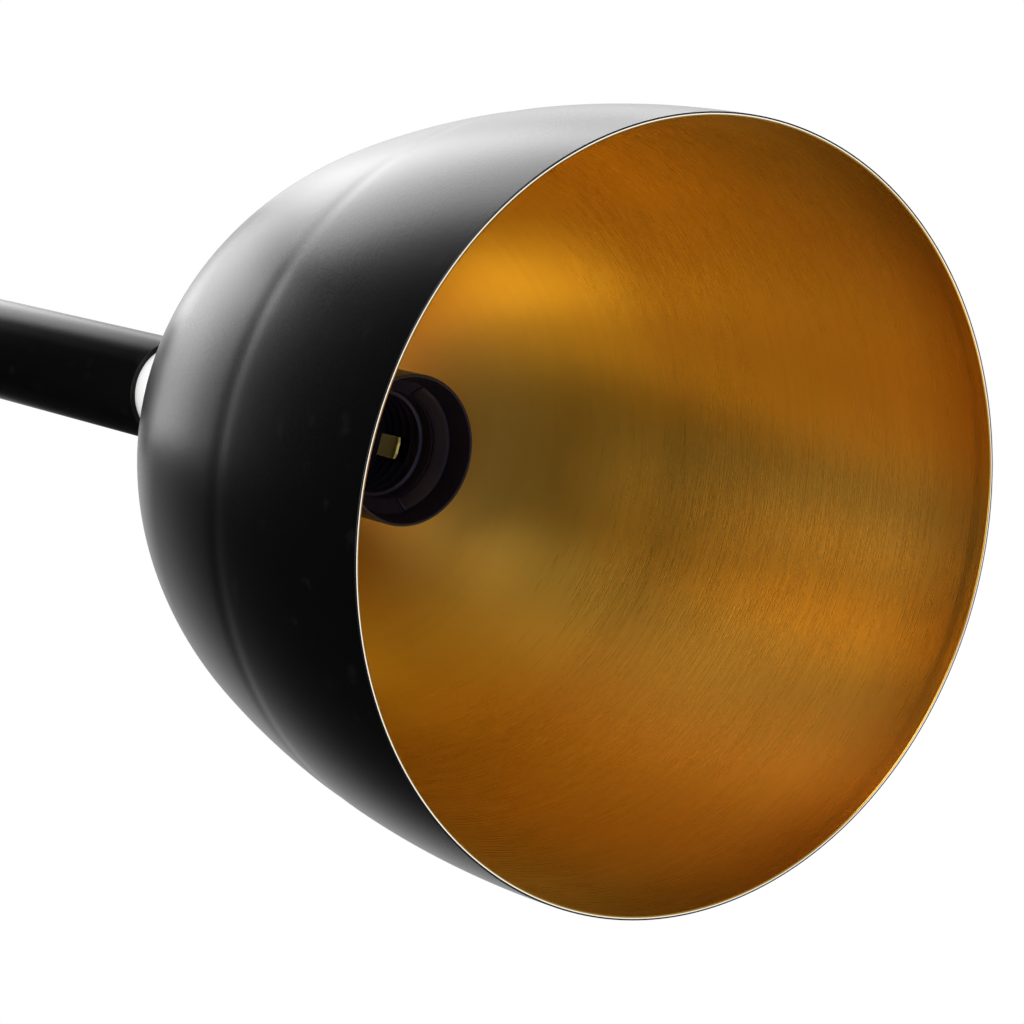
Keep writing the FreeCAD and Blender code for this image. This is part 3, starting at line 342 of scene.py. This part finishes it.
NICKEL = metal("nickel_plate", (0.8, 0.79, 0.77), 0.2, marks=(0.2, 0.2, 6.0), mark_scale=900.0,
               stain=0.08, relief=0.000004)
ZINC = metal("zinc_plated_steel", (0.66, 0.68, 0.7), 0.32, marks=(1.0, 4.0, 1.0),
             mark_scale=700.0, stain=0.35)
BLACK_STEEL = metal("blackened_steel", (0.07, 0.07, 0.075), 0.38, mark_scale=1200.0, stain=0.3)
BRASS = metal("bare_brass", (0.88, 0.66, 0.22), 0.2, marks=(5.0, 0.6, 1.0), mark_scale=900.0,
              stain=0.25)
# Painted light: the side contact is a paler copy of the brass, only a quarter metallic, so that it
# shows bright in the shade deep inside the holder.
BRIGHTENED_BRASS = metal("brightened_contact_brass", (1.0, 0.84, 0.3), 0.5, marks=(3.0, 0.6, 1.0), mark_scale=900.0,
                stain=0.06, bright=0.25)
TINNED = metal("tinned_copper", (0.78, 0.76, 0.72), 0.3, mark_scale=900.0, stain=0.3)
print("metals:", [each.name for each in (NICKEL, ZINC, BLACK_STEEL, BRASS, BRIGHTENED_BRASS, TINNED)])

# %% [markdown]
# ## Plastics and insulation
# Moulded plastic has a fine texture from the mould, and nylon lets a little light in. The earth
# wire's insulation has a yellow stripe that winds round a green ground.

# %% Plastics
def plastic(name, color, rough, soft=0.0):
    """Moulded plastic: soft is the share of light that goes in and comes out a little further."""
    finish = Finish(name, color, Subsurface_Weight=soft, Subsurface_Scale=0.001)
    grain = finish.noise(3000.0, 2.0)
    cloud = finish.noise(60.0, 3.0)
    finish.feed("Base Color", finish.mix(cloud * 0.5, shade_of(color, 1.04), shade_of(color, 0.8)))
    finish.feed("Roughness", rough - 0.06 + grain * 0.14)
    finish.bump(grain, 0.00002)
    return finish.material


NYLON = plastic("natural_nylon", (0.82, 0.8, 0.74), 0.42, 0.1)
BLOCK_WHITE = plastic("white_polyamide", (0.84, 0.83, 0.79), 0.5)
BUSH_WHITE = plastic("white_acetal", (0.93, 0.93, 0.92), 0.35)
BROWN_WIRE = plastic("brown_wire_cover", (0.17, 0.07, 0.035), 0.45)
BLUE_WIRE = plastic("blue_wire_cover", (0.03, 0.11, 0.33), 0.45)
print("plastics:", [each.name for each in (NYLON, BLOCK_WHITE, BUSH_WHITE, BROWN_WIRE, BLUE_WIRE)])

# %% Striped insulation
GREEN, YELLOW = (0.05, 0.28, 0.04), (0.85, 0.72, 0.06)
STRIPES_PER_METRE = 260.0


def striped_insulation():
    """Yellow where the fraction of (x + y + z) times the stripes per metre is high."""
    finish = Finish("earth_wire_cover", GREEN)
    winding = ((finish.x + finish.y + finish.z) * STRIPES_PER_METRE).fraction()
    stripe = winding.above(0.62, 0.08)
    finish.feed("Base Color", finish.mix(stripe, shade_of(GREEN), shade_of(YELLOW)))
    finish.feed("Roughness", 0.4 + finish.noise(900.0) * 0.15)
    return finish.material


EARTH_WIRE = striped_insulation()
print("finish:", EARTH_WIRE.name)

# %% [markdown]
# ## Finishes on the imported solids
# A solid whose shape is right stays as it is, and only its finish changes. Its corners are
# razor sharp, though, and real ones never are. A weld joins its loose triangles and a bevel
# rounds the corners, both as modifiers, so that the solid itself isn't touched.

# %% Finishes by node
BY_NODE = {
    BLACK: ["canopy_cup", "canopy_collar", "stem_tube", "shade_saddle"],
    NICKEL: ["upper_knuckle", "lower_knuckle", "pivot_screw", "pivot_nut", "pivot_spring_washer"],
    ZINC: ["ceiling_bracket", "top_nipple", "nipple_nut", "nipple_washer", "terminal_screws",
           "tube_top_plug", "swivel_stop_pin", "swivel_stop_washer", "swivel_spring_washer",
           "shade_washer", "shade_nut", "shade_nipple"],
    BLACK_STEEL: ["collar_screw", "tube_grub_screws", "swivel_retaining_ring"],
    BRASS: ["earth_screw", "centre_contact", "contact_clip", "holder_terminals"],
    BRIGHTENED_BRASS: ["side_contact"],
    TINNED: ["earth_tag"],
    PHENOLIC: ["holder_cap", "holder_core", "face_arc"],
    BLOCK_WHITE: ["terminal_block"],
    BUSH_WHITE: ["tube_end_plug"],
    NYLON: ["swivel_slip_washers", "tilt_slip_washer"],
    BROWN_WIRE: ["stem_live_wire", "knuckle_live_wire", "holder_live_wire"],
    BLUE_WIRE: ["stem_neutral_wire", "knuckle_neutral_wire", "holder_neutral_wire"],
    EARTH_WIRE: ["earth_wire"],
}
for material, names in BY_NODE.items():
    for name in names:
        solid[name].data.materials.clear()
        solid[name].data.materials.append(material)
print("finished", sum(len(names) for names in BY_NODE.values()), "solids")

# %% Rounded corners on the solids that show
CORNERS_MM = {
    "ceiling_bracket": 0.3, "canopy_cup": 0.25, "canopy_collar": 0.3, "stem_tube": 0.25,
    "shade_saddle": 0.3, "tube_end_plug": 0.2, "upper_knuckle": 0.35, "lower_knuckle": 0.35,
    "pivot_screw": 0.3, "pivot_nut": 0.3, "pivot_spring_washer": 0.15, "nipple_nut": 0.25,
    "nipple_washer": 0.15, "terminal_block": 0.4, "earth_screw": 0.25, "shade_nut": 0.25,
    "shade_washer": 0.15, "holder_cap": 0.25, "holder_core": 0.2, "face_arc": 0.28,
    "side_contact": 0.12, "centre_contact": 0.12, "holder_terminals": 0.3,
}
WELD_REACH, SHARPEST = 0.000002, math.radians(40)
for name, width in CORNERS_MM.items():
    weld = solid[name].modifiers.new("weld", "WELD")
    weld.merge_threshold = WELD_REACH
    bevel = solid[name].modifiers.new("bevel", "BEVEL")
    bevel.width = width / 1000
    bevel.segments = 2
    bevel.limit_method = "ANGLE"
    bevel.angle_limit = SHARPEST
    bevel.harden_normals = True
print("rounded", len(CORNERS_MM), "solids")

# %% [markdown]
# ## A surface of revolution
# The dome and the lampholder's skirt were turned: each is a profile carried once round the
# axis. Two parameters describe such a surface, one along the profile and one round it, and
# numpy works out every point at once.

# %% Turning a profile
def put_in_mesh(name, points, faces, finishes, which=None):
    """A mesh object from an array of points and an array of faces.

    which, where it is given, says for each face which of the finishes it has.
    """
    mesh = bpy.data.meshes.new(name)
    mesh.from_pydata(points, [], faces.tolist())
    for finish in finishes:
        mesh.materials.append(finish)
    if which is not None:
        mesh.polygons.foreach_set("material_index", np.asarray(which, np.int32))
    mesh.polygons.foreach_set("use_smooth", np.ones(len(faces), bool))
    mesh.update()
    thing = bpy.data.objects.new(name, mesh)
    bpy.context.scene.collection.objects.link(thing)
    return thing


def turned(name, profile, finishes, which=None, turns=288):
    """A closed profile of (radius, height) carried once about Z, in that many steps.

    x is radius times the cosine of the angle, y is radius times its sine, and z is height. The
    profile runs with the metal on its left, so that the faces look outwards.
    """
    angle = np.arange(turns)[:, None] * (2 * np.pi / turns)
    radius = profile[None, :, 0]
    height = np.broadcast_to(profile[None, :, 1], (turns, len(profile)))
    points = np.stack([radius * np.cos(angle), radius * np.sin(angle), height], -1).reshape(-1, 3)
    along = np.arange(len(profile))
    onward = np.roll(along, -1)
    here = np.arange(turns)[:, None] * len(profile)
    there = np.roll(here, -1, 0)
    faces = np.stack([here + along, there + along, there + onward, here + onward], -1)
    which = None if which is None else np.tile(which, turns)
    return put_in_mesh(name, points, faces.reshape(-1, 4), finishes, which)


def rounded(corners, cuts, steps=6):
    """A polygon with each corner swapped for a curve that starts and ends that far from it.

    A point on it is (1-t)^2 times the start, 2t(1-t) times the corner and t^2 times the end.
    """
    corners = np.array(corners, float)
    cuts = np.array(cuts, float)[:, None]
    before = np.roll(corners, 1, 0) - corners
    after = np.roll(corners, -1, 0) - corners
    start = corners + before / np.linalg.norm(before, axis=1)[:, None] * cuts
    end = corners + after / np.linalg.norm(after, axis=1)[:, None] * cuts
    t = np.linspace(0, 1, steps)[None, :, None]
    curve = (1 - t) ** 2 * start[:, None] + 2 * t * (1 - t) * corners[:, None]
    return (curve + t ** 2 * end[:, None]).reshape(-1, 2)


print("profiles can be turned")

# %% [markdown]
# ## The dome
# The dome's outside is three arcs that meet without a corner: a tall skirt that narrows a
# little at the mouth, a shoulder and a round crown. Its inside runs parallel, 0.8 mm further
# in. Where the spinner changed tools, a shallow groove goes round at about a third of the
# height, and shows as a dark and a bright line in the reflections. The last few millimetres
# before the rim were rolled inwards a little, which draws a second line inside, beside the rim.

# %% The dome's profile
RIM_RADIUS, WALL, HOLE = 0.095, 0.0008, 0.0051
BELLY, SKIRT, SHOULDER = 0.0135, (0.348, 0.107), (0.124, 0.1365)
TOOL_MARK_HEIGHT, TOOL_MARK_WIDTH, TOOL_MARK_DEPTH = 0.0636, 0.0035, 0.00013
ROLL_HEIGHT, ROLL_WIDTH, ROLL_DEPTH = 0.0045, 0.004, 0.0002

# SKIRT and SHOULDER are (radius, height of the upper end). Each arc's centre is worked out from
# the one below it, so that the two share a tangent where they meet.
dome_low, dome_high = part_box("shade")
skirt_end = math.asin((SKIRT[1] - BELLY) / SKIRT[0])
shoulder_end = math.asin(math.sin(skirt_end) + (SHOULDER[1] - SKIRT[1]) / SHOULDER[0])
skirt_start = -math.asin(BELLY / SKIRT[0])
skirt_across = RIM_RADIUS - SKIRT[0] * math.cos(skirt_start)
shoulder_across = skirt_across + (SKIRT[0] - SHOULDER[0]) * math.cos(skirt_end)
shoulder_rise = BELLY + (SKIRT[0] - SHOULDER[0]) * math.sin(skirt_end)
crown = (shoulder_across + SHOULDER[0] * math.cos(shoulder_end)) / math.cos(shoulder_end)
crown_rise = shoulder_rise + (SHOULDER[0] - crown) * math.sin(shoulder_end)
print("dome", round(dome_high.z - dome_low.z, 4), "m high, crown radius", round(crown, 4))

# %% One side of the sheet
SIDE_POINTS, CLOSER = 84, 1.4


def dome_side(inward, count=SIDE_POINTS):
    """(radius, height) from the rim to the hole, on three arcs, that much inside the outer face.

    Each point is the arc's centre plus (radius - inward) times (cosine, sine) of its angle. The
    groove takes a bell curve of the height from that radius outside, and the rolled edge takes a
    soft step, 3t^2 - 2t^3 of the height, from it inside. Points lie closer near the rim.
    """
    first = -math.asin(BELLY / (SKIRT[0] - inward))
    last = math.acos(HOLE / (crown - inward))
    share = np.linspace(0, 1, count) ** CLOSER
    angle = np.concatenate([first + (skirt_end - first) * share,
                            np.linspace(skirt_end, shoulder_end, count // 3)[1:],
                            np.linspace(shoulder_end, last, count // 2)[1:]])
    arc = np.repeat([0, 1, 2], [count, count // 3 - 1, count // 2 - 1])
    across = np.array([skirt_across, shoulder_across, 0.0])[arc]
    rise = np.array([BELLY, shoulder_rise, crown_rise])[arc]
    bend = np.array([SKIRT[0], SHOULDER[0], crown])[arc] - inward
    height = rise + bend * np.sin(angle)
    if inward == 0:
        bell = np.exp(-((height - TOOL_MARK_HEIGHT) / TOOL_MARK_WIDTH) ** 2)
        relief = -TOOL_MARK_DEPTH * bell
    else:
        t = np.clip((ROLL_HEIGHT - height) / ROLL_WIDTH + 0.5, 0, 1)
        relief = -ROLL_DEPTH * t * t * (3 - 2 * t)
    return np.stack([across + (bend + relief) * np.cos(angle), dome_low.z + height], -1)


outside = dome_side(0.0)
inside = dome_side(WALL)
print("points along the outside", len(outside), "and the inside", len(inside))

# %% The dome's sheet
# The profile goes up the outside, over the hole's edge, down the inside and round the rim. The
# rim's lip is three points across the wall, a little lower than the corners beside them.
LIP_SHARES, CORNER_RISE, LIP_RISE = [[0.37], [0.5], [0.63]], 0.0001, (0.00004, 0.0, 0.00004)
PAINTED, GILDED, BARE = 0, 1, 2
lip = outside[0] + (inside[0] - outside[0]) * np.array(LIP_SHARES)
lip[:, 1] += LIP_RISE
outside[0, 1] += CORNER_RISE
inside[0, 1] += CORNER_RISE
ring = np.concatenate([outside, inside[::-1], lip[::-1]])
which = np.repeat([PAINTED, GILDED, BARE, PAINTED], [len(outside), len(inside), len(lip) - 1, 1])
dome = turned("dome_sheet", ring, [BLACK, GOLD, EDGE], which)
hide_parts("shade")
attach(dome, "head")
print("dome_sheet:", len(dome.data.polygons), "faces")

# %% [markdown]
# ## The lampholder's skirt
# The skirt is a plain moulded cylinder. Its mouth widens to a thin rounded edge, which catches
# one fine highlight, and through the mouth the camera sees the dark inner wall.

# %% Skirt
SKIRT_OUTER, SKIRT_INNER, MOUTH_EDGE, MOUTH_DEPTH = 0.02, 0.0178, 0.0192, 0.007
skirt_low, skirt_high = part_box("holder_skirt")
front = skirt_low.z
wall = [(MOUTH_EDGE, front), (SKIRT_OUTER, front), (SKIRT_OUTER, skirt_high.z),
        (SKIRT_INNER, skirt_high.z), (SKIRT_INNER, front + MOUTH_DEPTH)]
skirt_profile = rounded(wall, [0.00035, 0.0004, 0.0003, 0.0003, 0.001])
holder_skirt = turned("skirt_moulding", skirt_profile, [PHENOLIC], turns=192)
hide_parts("holder_skirt")
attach(holder_skirt, "head")
print("skirt_moulding:", len(holder_skirt.data.polygons), "faces")

# %% [markdown]
# ## The thread inside
# The lamp's thread is one helix of 3.6 mm pitch with a rounded form. On the grid of angle and
# height its groove is a wave whose phase is height over pitch less angle over a full turn, so
# it winds by itself. A window in the wall lets the side contact's tongue through: cells of the
# grid are left out there, and short walls close its edges.

# %% A thick wall with openings
def thick_wall(name, levels, inner, outer, kept, finish):
    """A tube between two radii given on the grid of (angle, level), less the cells not kept.

    Each side is the radius times (cosine, sine) of the angle. Wherever a kept cell borders on
    nothing, a wall joins the inner edge to the outer one.
    """
    turns, rows = inner.shape
    angle = np.arange(turns)[:, None] * (2 * np.pi / turns)
    height = np.broadcast_to(levels[None, :], (turns, rows))
    points = np.concatenate([
        np.stack([radius * np.cos(angle), radius * np.sin(angle), height], -1).reshape(-1, 3)
        for radius in (inner, outer)])
    i, j = np.nonzero(kept)
    step = (i + 1) % turns
    a, b, c, d = i * rows + j, step * rows + j, step * rows + j + 1, i * rows + j + 1
    far = turns * rows
    faces = [np.stack([d, c, b, a], -1), np.stack([a, b, c, d], -1) + far]
    # A cell's four neighbours: before it and after it on the way round, below it and above it.
    for bare, one, two in (
        (~np.roll(kept, 1, 0)[i, j], a, d),
        (~np.roll(kept, -1, 0)[i, j], c, b),
        (np.where(j > 0, ~kept[i, j - 1], True), b, a),
        (np.where(j < rows - 2, ~kept[i, np.minimum(j + 1, rows - 2)], True), d, c),
    ):
        one, two = one[bare], two[bare]
        faces.append(np.stack([one, two, two + far, one + far], -1))
    return put_in_mesh(name, points, np.concatenate(faces), [finish])


print("walls can have openings")

# %% Levels of the sleeve
# They lie close together where the shape turns a corner, and evenly along the thread.
TURNS, PITCH, THREADS, THREAD_START = 180, 0.0036, 4, 0.015
FACE_DEPTH, FLANGE_DEPTH, HAIR = 0.004, 0.005, 0.00001

sleeve_low, sleeve_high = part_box("thread_sleeve")
face, top = sleeve_low.z, sleeve_high.z
face_end, flange_end = face + FACE_DEPTH, face + FLANGE_DEPTH
thread_low = front + THREAD_START
thread_high = thread_low + THREADS * PITCH
levels = np.concatenate([
    [face, face + 0.0001, face + 0.0003],
    np.linspace(face + 0.0008, face_end - 0.0006, 5),
    np.linspace(face_end - 0.0004, face_end + 0.0004, 7),
    [flange_end - HAIR, flange_end, thread_low - 0.0009],
    np.linspace(thread_low - 0.0004, thread_low - HAIR, 4),
    np.linspace(thread_low, thread_high, 64),
    [top - 0.0003, top]])
print("levels on the sleeve:", len(levels))

# %% The sleeve's inner side
BORE, FLANGE_RADIUS, FACE_LIMIT, FACE_CORNER = 0.01425, 0.01775, 0.0177, 0.00008
CREST, CREST_STEP, THREAD_DEPTH, RUN_OUT = 0.0133, 0.0004, 0.00075, 0.0012


def threaded_side():
    """The inner radius on the grid of (angle, level).

    Below the thread it is the sloping face or the plain bore, whichever is larger, with a
    rounded corner: half their sum plus the root of (half their difference)^2 + corner^2. In
    the thread it is the crest plus the depth times a wave, ((1 - cos) / 2)^0.75 of the level
    over the pitch less the share of a turn, which fades over the run-out at both ends.
    """
    turn = np.arange(TURNS)[:, None] / TURNS
    phase = (levels[None, :] - thread_low) / PITCH - turn
    wave = (0.5 - 0.5 * np.cos(2 * np.pi * phase)) ** 0.75
    fade_in = np.clip((levels - thread_low) / RUN_OUT, 0, 1)
    fade_out = np.clip((thread_high - levels) / RUN_OUT, 0, 1)
    slope = FLANGE_RADIUS + (BORE - FLANGE_RADIUS) * (levels - face) / (face_end - face)
    mouth = (slope + BORE) / 2 + np.sqrt(((slope - BORE) / 2) ** 2 + FACE_CORNER ** 2)
    mouth = np.minimum(mouth, FACE_LIMIT)
    crest = CREST + (mouth - CREST) * np.clip((thread_low - levels) / CREST_STEP, 0, 1)
    return crest[None, :] + THREAD_DEPTH * wave * (fade_in * fade_out)[None, :]


inner = threaded_side()
print("inner radius from", round(inner.min(), 5), "to", round(inner.max(), 5))

# %% Thread sleeve
SLEEVE_OUTER, WINDOW_START, WINDOW_HALF_ANGLE = 0.01585, 0.0192, 0.0037 / 0.0145
flanged = np.where(levels < flange_end - HAIR / 2, FLANGE_RADIUS, SLEEVE_OUTER)
outer = flanged[None, :] + np.zeros((TURNS, 1))
middle = (levels[1:] + levels[:-1]) / 2
from_window = (np.arange(TURNS) + 0.5) * (2 * np.pi / TURNS) - np.pi / 2
in_window = np.abs(from_window)[:, None] < WINDOW_HALF_ANGLE
kept = ~(in_window & (middle[None, :] > front + WINDOW_START))
sleeve = thick_wall("sleeve_moulding", levels, inner, outer, kept, PHENOLIC)
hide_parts("thread_sleeve")
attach(sleeve, "head")
print("sleeve_moulding:", len(sleeve.data.polygons), "faces")

# %% [markdown]
# ## Floor and backdrop
# The lamp hangs in an even white room. The floor lies well below it and is plain and pale.

# %% Floor
FLOOR_COLOR, FLOOR_LIGHT, FLOOR_DARK = (0.8, 0.8, 0.79), (0.82, 0.82, 0.81), (0.78, 0.78, 0.775)
FLOOR_LEVEL, FLOOR_SIZE = -2.3, 24.0


def floor_finish():
    finish = Finish("pale_floor", FLOOR_COLOR, Roughness=0.7)
    patches = finish.mix(finish.noise(3.0), shade_of(FLOOR_LIGHT), shade_of(FLOOR_DARK))
    finish.feed("Base Color", patches)
    return finish.material


def grid_sheet(name, size, level, count, finish):
    """A flat square about the axis: x and y are the two parameters, z is the level."""
    side = np.linspace(-size / 2, size / 2, count)
    across, along = np.meshgrid(side, side, indexing="ij")
    points = np.stack([across, along, np.full_like(across, level)], -1).reshape(-1, 3)
    i, j = np.meshgrid(np.arange(count - 1), np.arange(count - 1), indexing="ij")
    here = (i * count + j).ravel()
    faces = np.stack([here, here + count, here + count + 1, here + 1], -1)
    return put_in_mesh(name, points, faces, [finish])


floor = grid_sheet("floor", FLOOR_SIZE, FLOOR_LEVEL, 9, floor_finish())
print("floor at", FLOOR_LEVEL)

# %% [markdown]
# ## Camera
# The camera looks up into the mouth of the dome from below and one side, rolled so that the
# tube comes in from the left. Its place was worked out from the ellipse of the rim: how long
# and how wide it is gives the angle, and how it narrows gives the distance.

# %% Camera at the photograph's angle
# RIM_IN_VIEW is the rim's centre as the camera has it, to the right, down and ahead, in rim radii.
TILT, ROLL, LENS = math.radians(37.63), math.radians(14.74), 123.05
RIM_IN_VIEW = (0.449, 0.024, 8.564)
rim = Vector((0.0, 0.0, dome_low.z))
rise = math.pi / 2 - TILT
ahead = Vector((0.0, math.cos(rise), math.sin(rise)))
side = Vector((0.0, math.sin(rise), -math.cos(rise)))
flank = Vector((-1.0, 0.0, 0.0))
right = math.cos(ROLL) * side - math.sin(ROLL) * flank
down = math.sin(ROLL) * side + math.cos(ROLL) * flank
to_rim = RIM_IN_VIEW[0] * right + RIM_IN_VIEW[1] * down + RIM_IN_VIEW[2] * ahead
eye = rim - RIM_RADIUS * to_rim
camera_data = bpy.data.cameras.new("camera")
camera_data.lens = LENS
camera_data.sensor_width = 36.0
camera = bpy.data.objects.new("camera", camera_data)
bpy.context.scene.collection.objects.link(camera)
turned_so = Matrix((right, -down, -ahead)).transposed().to_4x4()
camera.matrix_world = Matrix.Translation(eye) @ turned_so
bpy.context.scene.camera = camera
print("camera at", tuple(round(part, 3) for part in eye))

# %% [markdown]
# ## Light
# Satin black shows only what it reflects, so its look is all in the lamps: four soft panels
# above the dome and to one side of it give it its pale side. Four more lie below the rim, round
# the camera. They shine into the dome and draw the bright fans on the brushed gold. None of the
# eight is seen by the camera itself.

# %% Lamps
def soft_panel(name, place, target, size, strength):
    """A rectangular lamp of this size that faces the target.

    strength is its radiance, 1 being white: the power is that times pi times the area.
    """
    data = bpy.data.lights.new(name, "AREA")
    data.shape = "RECTANGLE"
    data.size, data.size_y = size
    data.energy = strength * math.pi * size[0] * size[1]
    lamp = bpy.data.objects.new(name, data)
    bpy.context.scene.collection.objects.link(lamp)
    lamp.location = place
    lamp.visible_camera = False
    lamp.rotation_mode = "QUATERNION"
    lamp.rotation_quaternion = (Vector(target) - Vector(place)).to_track_quat("-Z", "Y")
    return lamp


# Each panel has its way from the middle of the dome, its size and its strength.
DOME_MIDDLE = Vector((0.0, 0.0, -0.475))
PANELS = {
    "ceiling_panel": ((0.14, -0.02, 1.15), (0.5, 0.5), 3.2),
    "bright_panel": ((0.72, 0.01, 0.99), (0.65, 0.65), 3.2),
    "side_panel": ((1.0, 0.36, 0.6), (0.5, 0.5), 6.5),
    "back_panel": ((0.66, 0.4, 0.94), (0.6, 0.8), 1.2),
    "high_front_panel": ((0.604, -0.656, -0.647), (0.75, 0.42), 6.4),
    "side_front_panel": ((-0.198, -0.946, -0.528), (0.5, 0.5), 5.0),
    "right_panel": ((0.352, -0.143, -1.034), (0.42, 0.42), 1.8),
    "low_panel": ((-0.44, 0.187, -0.99), (0.4, 0.4), 2.4),
}
for name, (way, size, strength) in PANELS.items():
    soft_panel(name, DOME_MIDDLE + Vector(way), DOME_MIDDLE, size, strength)
print("lamps:", list(PANELS))

# %% [markdown]
# ## The world
# The camera sees an even white. Metal and gloss see that white too, but only above and behind
# the lamp, where the backdrop is: the rest of the room is dim to them, because satin black
# would turn grey if it had white all round. A ramp gives that room its levels, from the
# camera's side over the dark sides to the backdrop. Everything else gets a plain, even fill.

# %% The world
# ROOM is the stops of the ramp: each is a position, 0 straight away from the backdrop and 1
# straight towards it, and the level of white there.
BACKDROP_WAY = Vector((0.12, 0.58, 0.8)).normalized()
FILL = 0.6
ROOM = ((0.3, 0.15), (0.55, 0.02), (0.87, 0.02), (0.965, 1.0))

world = bpy.data.worlds.new("studio")
world.use_nodes = True
world.cycles.sampling_method = "NONE"
bpy.context.scene.world = world
world.node_tree.nodes.clear()
studio = Graph(world.node_tree)
camera_ray, glossy_ray, clear_ray = (
    studio.node("ShaderNodeLightPath", out=f"Is {kind} Ray")
    for kind in ("Camera", "Glossy", "Transmission"))
way = studio.node("ShaderNodeTexCoord", out="Generated")
facing = studio.node("ShaderNodeVectorMath", {"operation": "DOT_PRODUCT"},
                     {0: way, 1: BACKDROP_WAY}, out="Value")
stops = [(position, (gray, gray, gray)) for position, gray in ROOM]
room = studio.node("ShaderNodeValToRGB", {"stops": stops}, {0: facing * 0.5 + 0.5})
shiny_ray = glossy_ray + clear_ray
level = FILL + (room - FILL) * shiny_ray
strength = level + (1 - level) * camera_ray
sky = studio.node("ShaderNodeBackground", {}, {"Color": (1.0, 1.0, 1.0, 1.0), "Strength": strength})
studio.node("ShaderNodeOutputWorld", {}, {"Surface": sky})
bpy.context.scene.view_settings.view_transform = "Standard"
print("world ready, backdrop towards", tuple(round(part, 2) for part in BACKDROP_WAY))
